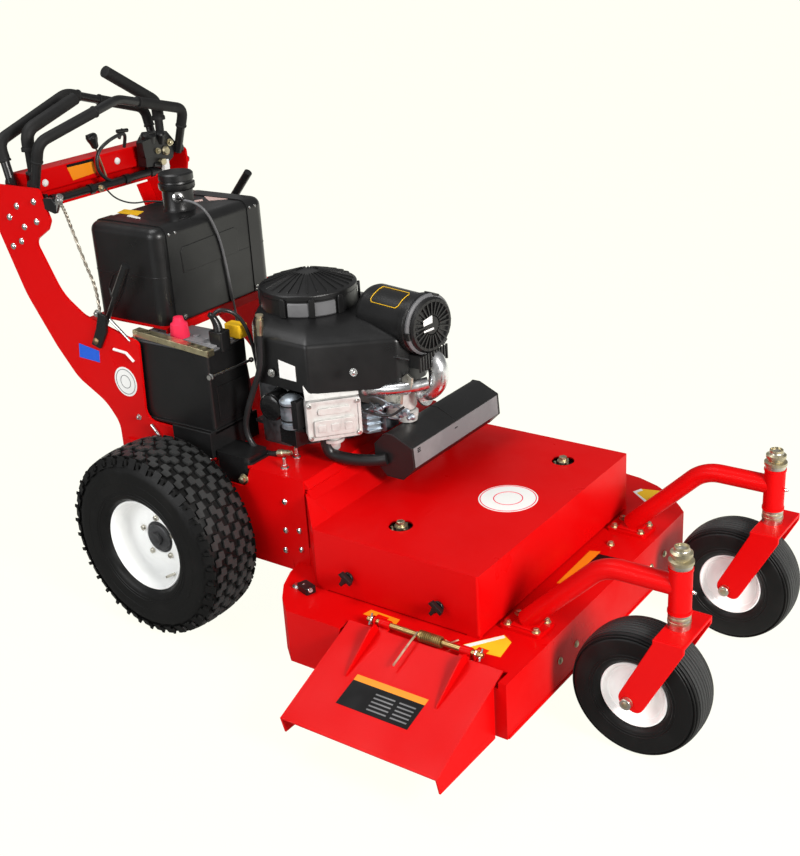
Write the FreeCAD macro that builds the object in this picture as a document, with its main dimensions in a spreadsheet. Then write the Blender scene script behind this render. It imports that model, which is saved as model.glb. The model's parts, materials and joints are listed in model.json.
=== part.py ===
import FreeCAD, Part
import math
import os

# Walk-behind mower, millimetres.  x runs forward from the rear axle, y to the left of the middle,
# z up from the ground; every sub-part is then moved by footShiftX, footShiftY so that the document's
# origin lies under the middle of the machine's footprint.

Vec = FreeCAD.Vector
X_AXIS = Vec(1, 0, 0)
Y_AXIS = Vec(0, 1, 0)
Z_AXIS = Vec(0, 0, 1)

SIZES = {
    # whole machine
    "footShiftX": -359.3, "footShiftY": 71.45,
    "pinGap": 0.05, "seatGap": 0.3,
    # engine frame
    "frameHalf": 265.0, "frameSheet": 6.0, "frameFront": 350.0, "frameRear": -215.0,
    "frameFoot": 166.0, "frameDeck": 400.0, "frameNose": 196.0, "frameRail": 348.0,
    "hitchHole": 10.0, "hitchLevel": 240.0, "frameHeel": 300.0, "railRear": 80.0,
    "neckFront": 66.0, "deckRear": -185.0, "rearInset": 20.0, "rearFoot": 200.0, "crankHole": 60.0,
    "legRear": -130.0, "legFront": 60.0,
    "pumpRear": 84.0, "pumpFront": 184.0, "pumpWide": 76.0, "pumpRim": 4.0, "pumpFoot": 352.0,
    "pumpTop": 416.0,
    # rear wheels
    "tireRadius": 228.6, "tireWidth": 160.0, "tireBead": 112.0, "wheelGap": 24.0,
    "axleRadius": 15.0, "axleEnd": 18.0, "gearRadius": 52.0, "tubeRadius": 38.0, "tubeHalf": 120.0,
    "hubRadius": 42.0, "rimDish": 44.0, "rimWall": 5.0,
    # casters
    "casterRadius": 136.0, "casterWidth": 94.0, "casterBead": 70.0, "casterTrack": 241.3,
    "pivotX": 1224.0, "casterTrail": 72.0, "forkGap": 20.0, "collarGap": 32.0, "pivotLong": 95.0,
    "pivotRadius": 22.0, "stemRadius": 12.7, "stemHead": 43.0, "forkPlate": 8.0,
    "forkHalf": 67.0, "boltRadius": 8.0, "armRadius": 20.5,
    "armKneeX": 1068.0, "armFootX": 892.0, "footThick": 8.0,
    "footHalf": 34.0, "footRear": 42.0, "footFront": 52.0, "kneeRadius": 90.0, "armDrop": 20.5,
    # cutter deck
    "deckTop": 190.0, "deckFoot": 64.0, "deckSheet": 4.0, "deckFront": 966.0,
    "deckRight": -442.0, "deckCorner": 378.0, "rearSweep": 267.0, "frontSweep": 280.0, "sweepStart": 38.0,
    "sweepEnd": 163.0, "bladeRadius": 208.0, "bladeLevel": 92.0, "bladeSheet": 6.0,
    "spindleRightX": 580.0, "spindleRightY": -225.0, "spindleLeftX": 726.0, "spindleLeftY": 228.0,
    "shaftRadius": 12.5, "housingRadius": 45.0, "pulleyRadius": 70.0,
    # belt cover
    "coverRear": 421.0, "coverFront": 839.5, "coverHalf": 333.0, "coverFoot": 193.0,
    "coverTop": 332.6, "coverSheet": 3.0, "boltHole": 26.5,
    "tailHalf": 262.0, "tailBendX": 372.0, "tailBendZ": 358.0, "tailEndX": 357.0, "tailEndZ": 378.0,
    "tailFoot": 300.0,
    # chute
    "chuteRear": 572.0, "chuteFront": 942.0, "chuteHingeY": -400.0, "chuteHingeZ": 206.0,
    "chuteReach": 272.0, "chuteSlope": 22.0, "chuteSheet": 3.5, "chuteRod": 5.0, "chuteDrop": 4.0,
    "chuteFoot": 62.0, "chuteInner": -447.5, "chuteOuter": -641.0, "chuteGap": 6.0,
    "ribRear": 644.0, "ribFront": 860.0, "ribReach": 138.0, "ribRise": 24.0, "knuckleLong": 24.0,
    "mouthDrop": 15.0, "knuckleGap": 10.0, "bladeLift": 22.0,
    # handle
    "handleSheet": 6.0, "handleFlange": 43.0, "flangeStart": 28.0, "flangeEnd": 8.0,
    "consoleFront": -462.0, "consoleDepth": 60.0,
    "consoleFoot": 954.0, "consoleRise": 53.0, "consoleInset": 26.5, "consoleSill": 32.0,
    "bailTube": 11.0, "bailInset": 13.0, "bailPin": 6.0, "bailLift": 21.0,
    "frontBailX": -421.0, "frontBailTilt": 19.0, "frontBailRise": 120.0, "frontBailPeak": 186.0,
    "rearBailX": -500.0, "rearBailTilt": -13.0, "rearBailRise": 111.0, "rearBailPeak": 186.0,
    "gripTube": 11.0, "gripInset": 12.0, "gripLift": 14.0, "gripRise": 139.0, "gripReach": 160.0,
    "gripLeanLeft": 102.0, "gripLeanRight": 50.0, "railRadius": 8.0,
    "leverTube": 6.0, "leverGrip": 10.5, "leverInset": 20.0,
    "brakeLeverX": -269.0, "brakeLeverZ": 640.0, "brakeLeverLong": 215.0, "brakeLeverTilt": 32.7,
    "driveLeverX": -383.0, "driveLeverZ": 700.0, "driveLeverLong": 319.0, "driveLeverTilt": 41.2,
    # fuel tank
    "tankRear": -322.0, "tankFront": -90.0, "tankHalf": 190.0, "tankLift": 24.0, "tankHigh": 230.0,
    "tankRound": 30.0, "tankEdge": 22.0, "strapSpread": 140.0, "strapWide": 36.0, "strapSheet": 2.0,
    "shelfInset": 56.0, "shelfMargin": 6.0, "shelfSill": 20.0, "tabLong": 60.0,
    "neckX": -195.0, "neckRadius": 30.0, "neckHigh": 52.0, "capRadius": 44.0,
    "capHigh": 40.0, "shelfSheet": 4.0,
    # battery
    "batteryRear": -168.0, "batteryFront": 82.0, "batteryInset": 19.0, "batteryWide": 134.0,
    "batteryFoot": 458.0, "batteryTop": 644.0, "batteryWall": 3.0, "trayLevel": 452.0,
    # engine
    "crankX": 190.0, "engineFoot": 400.0, "crankcaseTop": 572.0, "crankcaseHalf": 128.0,
    "cylinderAngle": 42.0,
    "cylinderLevel": 514.0, "cylinderRoot": 96.0, "cylinderReach": 176.0, "finHalf": 54.0,
    "finSheet": 2.5, "finPitch": 8.0, "headReach": 204.0, "valveReach": 238.0,
    "valveHalfWide": 61.0, "valveHalfHigh": 46.0,
    "shroudTop": 690.0, "shroudNose": 641.0, "fanRadius": 125.0,
    "fanTop": 750.0, "screenRadius": 113.0, "screenTop": 790.0,
    "shroudSlope": 12.0, "ventDrop": 30.0, "ventHigh": 25.0, "screenRib": 2.5, "screenRibs": 28.0,
    "cleanerRadius": 64.0, "cleanerEnd": 526.0, "cleanerLong": 178.0, "cleanerTurn": -11.0,
    "filterRadius": 32.0, "filterLong": 62.0, "filterX": 205.0, "filterZ": 520.0,
    "starterX": 268.0, "starterY": -184.0, "starterRadius": 26.0, "starterTop": 560.0,
    # muffler
    "mufflerX": 472.0, "mufflerZ": 416.0, "mufflerRadius": 57.0, "mufflerRight": -88.0,
    "mufflerLeft": 282.0, "exhaustTube": 14.0,
}


class Named:
    """The driving sizes as attributes, for outlines worked out in this file."""

    def __init__(self, values):
        self.__dict__.update(values)


S = Named(SIZES)
doc = FreeCAD.newDocument("WalkBehindMower")
sheet = doc.addObject("Spreadsheet::Sheet", "Sizes")
for row, (alias, value) in enumerate(SIZES.items(), start=1):
    sheet.set("A%d" % row, alias)
    sheet.set("B%d" % row, str(value))
    sheet.setAlias("B%d" % row, alias)
doc.recompute()

subparts = []
followers = {}


# ---------------------------------------------------------------- helpers

def cells(text):
    """Turns size names in an expression into references to the sheet."""
    out = ""
    word = ""
    for sign in text + " ":
        if sign.isalnum() or sign == "_":
            word += sign
            continue
        out += "Sizes." + word if word in SIZES else followers.get(word, word)
        out += sign
        word = ""
    return out.strip()


def bind(thing, attribute, text):
    thing.setExpression(attribute, cells(text))


def follow(alias, text, value):
    """Names a size that follows from driving sizes: its expression, and its value for outlines."""
    followers[alias] = "(" + cells(text) + ")"
    setattr(S, alias, value)


def new_body(label, x="0", y="0", z="0", axis=Z_AXIS, angle=0.0):
    """A sub-part whose own origin stands at x, y, z of the machine."""
    body = doc.addObject("PartDesign::Body", label)
    body.Label = label
    body.Placement = FreeCAD.Placement(Vec(0, 0, 0), FreeCAD.Rotation(axis, angle))
    bind(body, "Placement.Base.x", "footShiftX + (" + x + ")")
    bind(body, "Placement.Base.y", "footShiftY + (" + y + ")")
    bind(body, "Placement.Base.z", z)
    subparts.append(body)
    return body


def sketch_on(body, plane, offset="0"):
    """A sketch on one of the body's own origin planes, moved along that plane's normal."""
    sketch = body.newObject("Sketcher::SketchObject", body.Label + "_sketch")
    for feature in body.Origin.OriginFeatures:
        if feature.Role == plane + "_Plane":
            sketch.AttachmentSupport = [(feature, "")]
    sketch.MapMode = "FlatFace"
    bind(sketch, "AttachmentOffset.Base.z", offset)
    return sketch


def draw(sketch, points, closed=True):
    """Lines through the points; a third value in a point rounds that corner."""
    count = len(points)
    enters = []
    leaves = []
    arcs = []
    for index, point in enumerate(points):
        corner = Vec(point[0], point[1], 0)
        inner = closed or 0 < index < count - 1
        if len(point) < 3 or point[2] == 0 or not inner:
            enters.append(corner)
            leaves.append(corner)
            arcs.append(None)
            continue
        radius = point[2]
        before = Vec(*points[index - 1][:2], 0) - corner
        after = Vec(*points[(index + 1) % count][:2], 0) - corner
        before.normalize()
        after.normalize()
        half = before.getAngle(after) / 2
        reach = radius / math.tan(half)
        middle = before + after
        middle.normalize()
        enters.append(corner + before * reach)
        leaves.append(corner + after * reach)
        arcs.append(corner + middle * (radius / math.sin(half) - radius))
    edges = []
    for index in range(count):
        if arcs[index] is not None:
            edges.append(Part.Arc(enters[index], arcs[index], leaves[index]))
        following = (index + 1) % count
        if following == 0 and not closed:
            break
        if (enters[following] - leaves[index]).Length > 1e-4:
            edges.append(Part.LineSegment(leaves[index], enters[following]))
    sketch.addGeometry(edges)
    return sketch


def draw_circle(sketch, x, y, radius):
    sketch.addGeometry(Part.Circle(Vec(x, y, 0), Z_AXIS, radius))
    return sketch


def box_points(x0, y0, x1, y1, radius=0.0):
    corners = [(x0, y0), (x1, y0), (x1, y1), (x0, y1)]
    if radius > 0:
        corners = [corner + (radius,) for corner in corners]
    return corners


def arc_points(cx, cy, radius, start, stop, steps):
    """Points on an arc, in degrees, for outlines that follow a circle in short flats."""
    points = []
    for step in range(steps + 1):
        angle = math.radians(start + (stop - start) * step / steps)
        points.append((cx + radius * math.cos(angle), cy + radius * math.sin(angle)))
    return points


def pad(body, sketch, length, symmetric=False, flip=False):
    feature = body.newObject("PartDesign::Pad", body.Label + "_pad")
    feature.Profile = sketch
    bind(feature, "Length", length)
    if symmetric:
        feature.SideType = "Symmetric"
    feature.Reversed = flip
    body.Tip = feature
    return feature


def pocket(body, sketch, length, symmetric=False, flip=False):
    """Cuts the sketch out of the body; length None cuts through everything both ways."""
    feature = body.newObject("PartDesign::Pocket", body.Label + "_pocket")
    feature.Profile = sketch
    if length is None:
        feature.Type = "ThroughAll"
        feature.SideType = "Symmetric"
    else:
        bind(feature, "Length", length)
        if symmetric:
            feature.SideType = "Symmetric"
        feature.Reversed = flip
    body.Tip = feature
    return feature


def revolve(body, sketch, axis="H_Axis", cut=False):
    kind = "PartDesign::Groove" if cut else "PartDesign::Revolution"
    feature = body.newObject(kind, body.Label + "_turn")
    feature.Profile = sketch
    feature.ReferenceAxis = (sketch, [axis])
    feature.Angle = 360.0
    body.Tip = feature
    return feature


def tube(body, spine, profile):
    """Sweeps the profile sketch along the spine sketch."""
    feature = body.newObject("PartDesign::AdditivePipe", body.Label + "_pipe")
    feature.Profile = profile
    feature.Spine = (spine, ["Edge%d" % (i + 1) for i in range(spine.GeometryCount)])
    body.Tip = feature
    return feature


def dress_level(kind, body, feature, level, attribute, size):
    """Dresses the edges of a feature that lie at one height."""
    doc.recompute()
    names = []
    for index, edge in enumerate(feature.Shape.Edges, start=1):
        bounds = edge.BoundBox
        if max(abs(bounds.ZMin - level), abs(bounds.ZMax - level)) < S.pinGap:
            names.append("Edge%d" % index)
    dressed = body.newObject("PartDesign::" + kind, body.Label + "_edge")
    dressed.Base = (feature, names)
    bind(dressed, attribute, size)
    body.Tip = dressed
    return dressed


def round_level(body, feature, level, radius):
    return dress_level("Fillet", body, feature, level, "Radius", radius)


def slope_level(body, feature, level, size):
    return dress_level("Chamfer", body, feature, level, "Size", size)


def row_of(body, feature, sketch_axis, length, count, sketch):
    """A linear pattern of a feature along an axis of its own sketch."""
    pattern = body.newObject("PartDesign::LinearPattern", body.Label + "_row")
    pattern.Originals = [feature]
    pattern.Direction = (sketch, [sketch_axis])
    bind(pattern, "Length", length)
    pattern.Occurrences = count
    body.Tip = pattern
    return pattern


def plan_slab(body, foot, thick, *outlines):
    """A slab between heights foot and foot + thick; circles are (x, y, radius, 'circle')."""
    sketch = sketch_on(body, "XY", foot)
    for outline in outlines:
        if outline[-1] == "circle":
            draw_circle(sketch, *outline[:3])
        else:
            draw(sketch, outline)
    return pad(body, sketch, thick)


def side_slab(body, left, thick, *outlines):
    """A slab drawn in x and z whose left face is at y = left."""
    sketch = sketch_on(body, "XZ", "-(" + left + ")")
    for outline in outlines:
        if outline[-1] == "circle":
            draw_circle(sketch, *outline[:3])
        else:
            draw(sketch, outline)
    return pad(body, sketch, thick)


def side_name(side):
    return "left" if side > 0 else "right"


def signed(side, text):
    return text if side > 0 else "-(" + text + ")"


# ---------------------------------------------------------------- sizes that follow

follow("wheelTrack", "frameHalf + wheelGap + tireWidth / 2", S.frameHalf + S.wheelGap + S.tireWidth / 2)
follow("handleHalf", "frameHalf - frameSheet - seatGap", S.frameHalf - S.frameSheet - S.seatGap)
follow("handleInner", "handleHalf - handleSheet", S.handleHalf - S.handleSheet)
follow("sillHalf", "handleInner - seatGap", S.handleInner - S.seatGap)
follow("consoleHalf", "sillHalf - consoleInset", S.sillHalf - S.consoleInset)
follow("consoleTop", "consoleFoot + consoleRise", S.consoleFoot + S.consoleRise)
follow("bailHalf", "sillHalf - bailInset", S.sillHalf - S.bailInset)
follow("bailZ", "consoleFoot + bailLift", S.consoleFoot + S.bailLift)
follow("gripSpread", "consoleHalf - gripInset", S.consoleHalf - S.gripInset)
follow("shelfHalf", "handleInner - shelfInset", S.handleInner - S.shelfInset)
follow("tankFoot", "batteryTop + tankLift", S.batteryTop + S.tankLift)
follow("tankTop", "tankFoot + tankHigh", S.tankFoot + S.tankHigh)
follow("neckTop", "tankTop + neckHigh", S.tankTop + S.neckHigh)
follow("batteryRight", "batteryInset - frameHalf", S.batteryInset - S.frameHalf)
follow("batteryLeft", "batteryRight + batteryWide", S.batteryRight + S.batteryWide)
follow("forkTop", "2 * casterRadius + forkGap", 2 * S.casterRadius + S.forkGap)
follow("pivotLow", "forkTop + collarGap", S.forkTop + S.collarGap)
follow("pivotHigh", "pivotLow + pivotLong", S.pivotLow + S.pivotLong)
follow("stemTop", "pivotHigh + stemHead", S.pivotHigh + S.stemHead)
follow("armLevel", "pivotHigh - armRadius - armDrop", S.pivotHigh - S.armRadius - S.armDrop)


# ---------------------------------------------------------------- frame

def engine_frame():
    """Welded sheet frame: two side plates, engine deck, front lip, rear and battery cross pieces."""
    body = new_body("engine_frame")
    rail = S.frameRail
    step = S.frameDeck - 8
    soft = S.rearInset
    outline = [(S.frameRear, S.frameFoot, soft), (S.frameHeel, S.frameFoot), (S.frameHeel, S.deckTop),
               (S.frameFront, S.deckTop), (S.frameFront, S.frameDeck), (S.frameNose, S.frameDeck, soft / 2),
               (S.frameNose - soft, rail, soft), (S.railRear, rail, soft), (S.railRear - 25, step, soft),
               (S.frameRear, step, soft)]
    bore = (0.0, S.tireRadius, S.axleRadius + S.frameSheet, "circle")
    side_slab(body, "frameHalf", "frameSheet", outline, bore)
    side_slab(body, "-frameHalf + frameSheet", "frameSheet", outline, bore)
    inner = S.frameHalf - S.frameSheet
    tight = S.handleHalf - S.handleSheet - S.seatGap
    notch = inner - S.pumpWide
    right_edge = [(S.deckRear, -tight), (S.neckFront, -tight), (S.neckFront, -inner), (S.pumpRear, -inner),
                  (S.pumpRear, -notch), (S.pumpFront, -notch), (S.pumpFront, -inner),
                  (S.frameFront, -inner)]
    deck = right_edge + [(x, -y) for x, y in reversed(right_edge)]
    crank_hole = (S.crankX, 0.0, S.crankHole, "circle")
    plan_slab(body, "frameDeck - frameSheet", "frameSheet", deck, crank_hole)
    front = sketch_on(body, "YZ", "frameFront - frameSheet")
    draw(front, box_points(-inner, S.deckTop, inner, S.frameDeck - S.frameSheet))
    pad(body, front, "frameSheet")
    rear = sketch_on(body, "YZ", "frameRear + rearInset")
    foot, shoulder, top = S.rearFoot, rail - 4, S.frameDeck - S.frameSheet
    draw(rear, [(-inner, foot), (inner, foot), (inner, shoulder), (tight, shoulder), (tight, top),
                (-tight, top), (-tight, shoulder), (-inner, shoulder)])
    draw_circle(rear, 0, S.hitchLevel, S.hitchHole)
    pad(body, rear, "frameSheet")
    for x in ("legRear", "legFront"):
        leg = sketch_on(body, "YZ", x)
        draw(leg, box_points(S.batteryRight + 6, S.frameDeck, S.batteryLeft, S.trayLevel))
        pad(body, leg, "frameSheet")
    tray = box_points(S.batteryRear, S.batteryRight, S.batteryFront, S.batteryLeft, 6)
    plan_slab(body, "trayLevel", "batteryFoot - trayLevel", tray)
    return body


# Outline of the handle plates as x, z and corner radius; the heads are measured from the console's foot.
PLATE_REAR = [(-225, 352, 0), (-225, 425, 60), (-262, 473, 120), (-352, 522, 110), (-413, 595, 160),
              (-494, 716, 220)]
PLATE_HEAD = [(-566, -65, 60), (-570, 31, 14)]
PLATE_EAR = {-1: [(-386, 31, 12), (-360, -42, 10), (-374, -65, 12), (-428, -98, 18)],
             1: [(-406, 31, 12), (-406, -10, 20), (-428, -98, 40)]}
PLATE_FRONT = [(-362, 733, 120), (-296, 690, 60), (-228, 674, 30), (-120, 648, 14), (-130, 452, 30),
               (-40, 450, 40),
               (60, 410, 20), (60, 352, 0)]


def handle_plate(side):
    """Curved upright of the handle, its bolted head wider on the right, with a flange at its rear edge."""
    body = new_body("handle_plate_" + side_name(side))
    head = PLATE_HEAD + PLATE_EAR[side]
    outline = PLATE_REAR + [(x, z + S.consoleFoot, corner) for x, z, corner in head] + PLATE_FRONT
    low = Vec(*PLATE_REAR[-1][:2], 0)
    high = Vec(PLATE_HEAD[0][0], PLATE_HEAD[0][1] + S.consoleFoot, 0)
    along = (high - low).normalize()
    inward = Vec(along.y, -along.x, 0) * S.handleSheet
    start = low + along * S.flangeStart
    stop = high - along * S.flangeEnd
    strip = [(start.x, start.y), (stop.x, stop.y), (stop.x + inward.x, stop.y + inward.y),
             (start.x + inward.x, start.y + inward.y)]
    if side > 0:
        side_slab(body, "handleHalf", "handleSheet", outline)
        side_slab(body, "handleInner", "handleFlange", strip)
    else:
        side_slab(body, "-handleInner", "handleSheet", outline)
        side_slab(body, "-handleInner + handleFlange", "handleFlange", strip)
    return body


def pump_covers():
    """Black drive pump ends in the notches at both edges of the engine deck, each on its own rim."""
    body = new_body("pump_covers")
    outer = S.frameHalf - S.frameSheet - S.seatGap
    inner = outer - S.pumpWide + 2 * S.seatGap
    rear = S.pumpRear + S.seatGap
    front = S.pumpFront - S.seatGap
    rim = 2 * S.pumpRim
    plan_slab(body, "pumpFoot", "pumpTop - pumpFoot", box_points(rear, -outer, front, -inner, 12),
              box_points(rear, inner, front, outer, 12))
    plan_slab(body, "frameDeck", "pumpRim", box_points(rear - rim, -outer, front + rim, -inner + rim, 12),
              box_points(rear - rim, inner - rim, front + rim, outer, 12))
    return body


def tank_shelf():
    """Folded shelf that carries the fuel tank, with a tab out to each handle plate."""
    body = new_body("tank_shelf")
    rear = S.tankRear - S.shelfMargin
    front = S.tankFront + S.shelfMargin
    half = S.shelfHalf
    side = S.handleInner
    tab = rear + S.tabLong
    plan_slab(body, "tankFoot - shelfSheet", "shelfSheet",
              [(rear, -side), (tab, -side), (tab, -half), (front, -half), (front, half), (tab, half),
               (tab, side),
               (rear, side)])
    lip = sketch_on(body, "YZ", "tankFront + shelfMargin - shelfSheet")
    draw(lip, box_points(-half, S.tankFoot - S.shelfSill, half, S.tankFoot - S.shelfSheet))
    pad(body, lip, "shelfSheet")
    return body


# ---------------------------------------------------------------- wheels

def tire_profile(sketch, half, bead, radius, shoulder):
    """Half section of a low-pressure tire, across y and out along z."""
    draw(sketch, [(-half * 0.72, bead, 6), (half * 0.72, bead, 6), (half * 0.99, bead + 14, 14),
                  (half, bead + (radius - bead) * 0.45, 30),
                  (half * 0.93, radius - shoulder * 0.35, shoulder),
                  (half * 0.45, radius, half), (-half * 0.45, radius, half),
                  (-half * 0.93, radius - shoulder * 0.35, shoulder),
                  (-half, bead + (radius - bead) * 0.45, 30), (-half * 0.99, bead + 14, 14)])


def rear_tire(side):
    body = new_body("rear_tire_" + side_name(side), "0", signed(side, "wheelTrack"), "tireRadius")
    sketch = sketch_on(body, "YZ")
    tire_profile(sketch, S.tireWidth / 2, S.tireBead, S.tireRadius, 22)
    revolve(body, sketch)
    return body


def rear_rim(side):
    """Pressed rim with a deep dished outer face and a hub that runs on the axle."""
    body = new_body("rear_rim_" + side_name(side), "0", signed(side, "wheelTrack"), "tireRadius",
                    Z_AXIS, 0.0 if side > 0 else 180.0)
    wall = S.rimWall
    half = S.tireWidth * 0.36
    barrel = S.tireBead - S.seatGap
    sketch = sketch_on(body, "YZ")
    bore = S.axleRadius + S.pinGap
    draw(sketch, rim_section(half, barrel, wall, bore))
    revolve(body, sketch)
    return body


def rim_section(half, barrel, wall, bore):
    """Barrel, dished disc and hub of a rim as one closed section, in y and z."""
    disc = half - S.rimDish
    return [(-half, barrel), (-half, barrel - wall, 2), (disc - wall, barrel - wall, 4),
            (disc - wall, S.hubRadius, 3), (-half - 10, S.hubRadius), (-half - 10, bore),
            (disc + 8, bore), (disc + 8, S.hubRadius - 8, 3), (disc, S.hubRadius, 4),
            (disc, barrel - wall - 6, 6), (half + 6, barrel - wall, 3), (half + 6, barrel)]


def drive_axle():
    """Gear housing between the frame plates with an axle shaft out to each wheel."""
    body = new_body("drive_axle", "0", "0", "tireRadius")
    inner = S.frameHalf - S.frameSheet - S.seatGap
    end = S.wheelTrack + S.tireWidth * 0.36 - S.rimDish + S.axleEnd
    sketch = sketch_on(body, "YZ")
    gear, case, middle = S.gearRadius, S.tubeRadius, S.tubeHalf
    neck = (inner + middle) / 2
    draw(sketch, [(-end, 0), (-end, S.axleRadius), (-inner, S.axleRadius), (-inner, gear, 4),
                  (-neck, gear, 10), (-middle, case, 8), (middle, case, 8), (neck, gear, 10),
                  (inner, gear, 4),
                  (inner, S.axleRadius), (end, S.axleRadius), (end, 0)])
    revolve(body, sketch)
    return body


def caster_tire(side):
    body = new_body("caster_tire_" + side_name(side), "pivotX - casterTrail",
                    signed(side, "casterTrack"), "casterRadius")
    sketch = sketch_on(body, "YZ")
    tire_profile(sketch, S.casterWidth / 2, S.casterBead, S.casterRadius, 16)
    revolve(body, sketch)
    return body


def caster_rim(side):
    """Small rim with a shallow cone each side and a hub on the axle bolt."""
    body = new_body("caster_rim_" + side_name(side), "pivotX - casterTrail",
                    signed(side, "casterTrack"), "casterRadius")
    half = S.casterWidth * 0.36
    barrel = S.casterBead - S.seatGap
    hub = S.forkHalf - S.forkPlate - S.seatGap
    bore = S.boltRadius + S.pinGap
    sketch = sketch_on(body, "YZ")
    draw(sketch, [(-half - 5, barrel), (-half - 5, barrel - 4, 1.5), (-half + 4, barrel - 7, 3),
                  (-half + 10, 32, 6),
                  (-half + 2, 24, 4), (-hub, 20, 2), (-hub, bore), (hub, bore), (hub, 20, 2),
                  (half - 2, 24, 4), (half - 10, 32, 6), (half - 4, barrel - 7, 3),
                  (half + 5, barrel - 4, 1.5), (half + 5, barrel)])
    revolve(body, sketch)
    return body


def caster_fork(side):
    """Top plate and two raked legs that trail the caster wheel, bored for its axle bolt."""
    body = new_body("caster_fork_" + side_name(side), "pivotX", signed(side, "casterTrack"),
                    "casterRadius")
    rise = S.forkTop - S.casterRadius
    trail = S.casterTrail
    leg = [(30, rise), (-trail + 17, -22, 20), (-trail - 24, -4, 18), (-42, rise)]
    bolt = (-trail, 0, S.boltRadius, "circle")
    side_slab(body, "forkHalf", "forkPlate", leg, bolt)
    side_slab(body, "-forkHalf + forkPlate", "forkPlate", leg, bolt)
    plan_slab(body, str(rise) + " - forkPlate", "forkPlate",
              box_points(-50, -S.forkHalf, 38, S.forkHalf, 8), (0, 0, S.stemRadius, "circle"))
    return body


def caster_stem(side):
    """Swivel shaft with its lower washer, upper collar and cap."""
    body = new_body("caster_stem_" + side_name(side), "pivotX", signed(side, "casterTrack"),
                    "casterRadius")
    low = S.forkTop - S.forkPlate - S.casterRadius
    rise = S.forkTop - S.casterRadius
    foot = S.pivotLow - S.casterRadius - S.seatGap
    head = S.pivotHigh - S.casterRadius + S.seatGap
    top = S.stemTop - S.casterRadius
    stem = S.stemRadius
    sketch = sketch_on(body, "XZ")
    draw(sketch, [(0, low), (stem, low), (stem, rise), (stem + 9, rise), (stem + 9, foot), (stem, foot),
                  (stem, head), (stem + 9, head), (stem + 9, head + 15, 3), (stem + 3, head + 17),
                  (stem + 3, top - 6, 4), (0, top)])
    revolve(body, sketch, "V_Axis")
    return body


def caster_axle(side):
    """Axle bolt with its head and nut outside the fork legs."""
    body = new_body("caster_axle_" + side_name(side), "pivotX - casterTrail",
                    signed(side, "casterTrack"), "casterRadius")
    end = S.forkHalf + 10
    sketch = sketch_on(body, "YZ")
    draw(sketch, [(-end, 0), (-end, 12, 2), (-S.forkHalf, 12), (-S.forkHalf, S.boltRadius),
                  (S.forkHalf, S.boltRadius), (S.forkHalf, 12), (end, 12, 2), (end, 0)])
    revolve(body, sketch)
    return body


def caster_arm(side):
    """Bent tube from its foot plate on the deck up to the pivot tube."""
    body = new_body("caster_arm_" + side_name(side), "0", signed(side, "casterTrack"), "0")
    wide = S.footHalf
    plan_slab(body, "deckTop", "footThick",
              box_points(S.armFootX - S.footRear, -wide, S.armFootX + S.footFront, wide, S.footThick))
    heel = S.deckTop + S.armRadius * 0.75
    start = S.armKneeX - (S.armLevel - heel)
    spine = sketch_on(body, "XZ")
    draw(spine, [(start, heel), (S.armKneeX, S.armLevel, S.kneeRadius), (S.pivotX, S.armLevel)],
         closed=False)
    profile = sketch_on(body, "XZ")
    profile.AttachmentOffset = FreeCAD.Placement(Vec(start, heel, 0), FreeCAD.Rotation(Vec(-1, 1, 0), 90))
    draw_circle(profile, 0, 0, S.armRadius)
    tube(body, spine, profile)
    collar = sketch_on(body, "XY", "pivotLow")
    draw_circle(collar, S.pivotX, 0, S.pivotRadius)
    pad(body, collar, "pivotHigh - pivotLow")
    bore = sketch_on(body, "XY", "pivotLow")
    draw_circle(bore, S.pivotX, 0, S.stemRadius + S.pinGap)
    pocket(body, bore, "pivotHigh - pivotLow", flip=True)
    return body


# ---------------------------------------------------------------- cutter deck

def deck_outline(inset):
    """Outline of the deck shell, following each blade's circle at the rear and left."""
    right = S.rearSweep - inset
    left = S.frontSweep - inset
    rx, ry = S.spindleRightX, S.spindleRightY
    lx, ly = S.spindleLeftX, S.spindleLeftY
    front = S.deckFront - inset
    side = S.deckRight + inset
    reach = math.sqrt(right ** 2 - (side - ry) ** 2)
    start, turn = S.sweepStart, S.sweepEnd
    outline = [(front, side), (front, S.deckCorner - inset * 0.5)]
    outline += arc_points(lx, ly, left, start, turn, 10)
    outline += arc_points(rx, ry, right, turn, 360 - math.degrees(math.atan2(ry - side, -reach)), 6)[:-1]
    outline += [(rx - reach, side)]
    return outline


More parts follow.
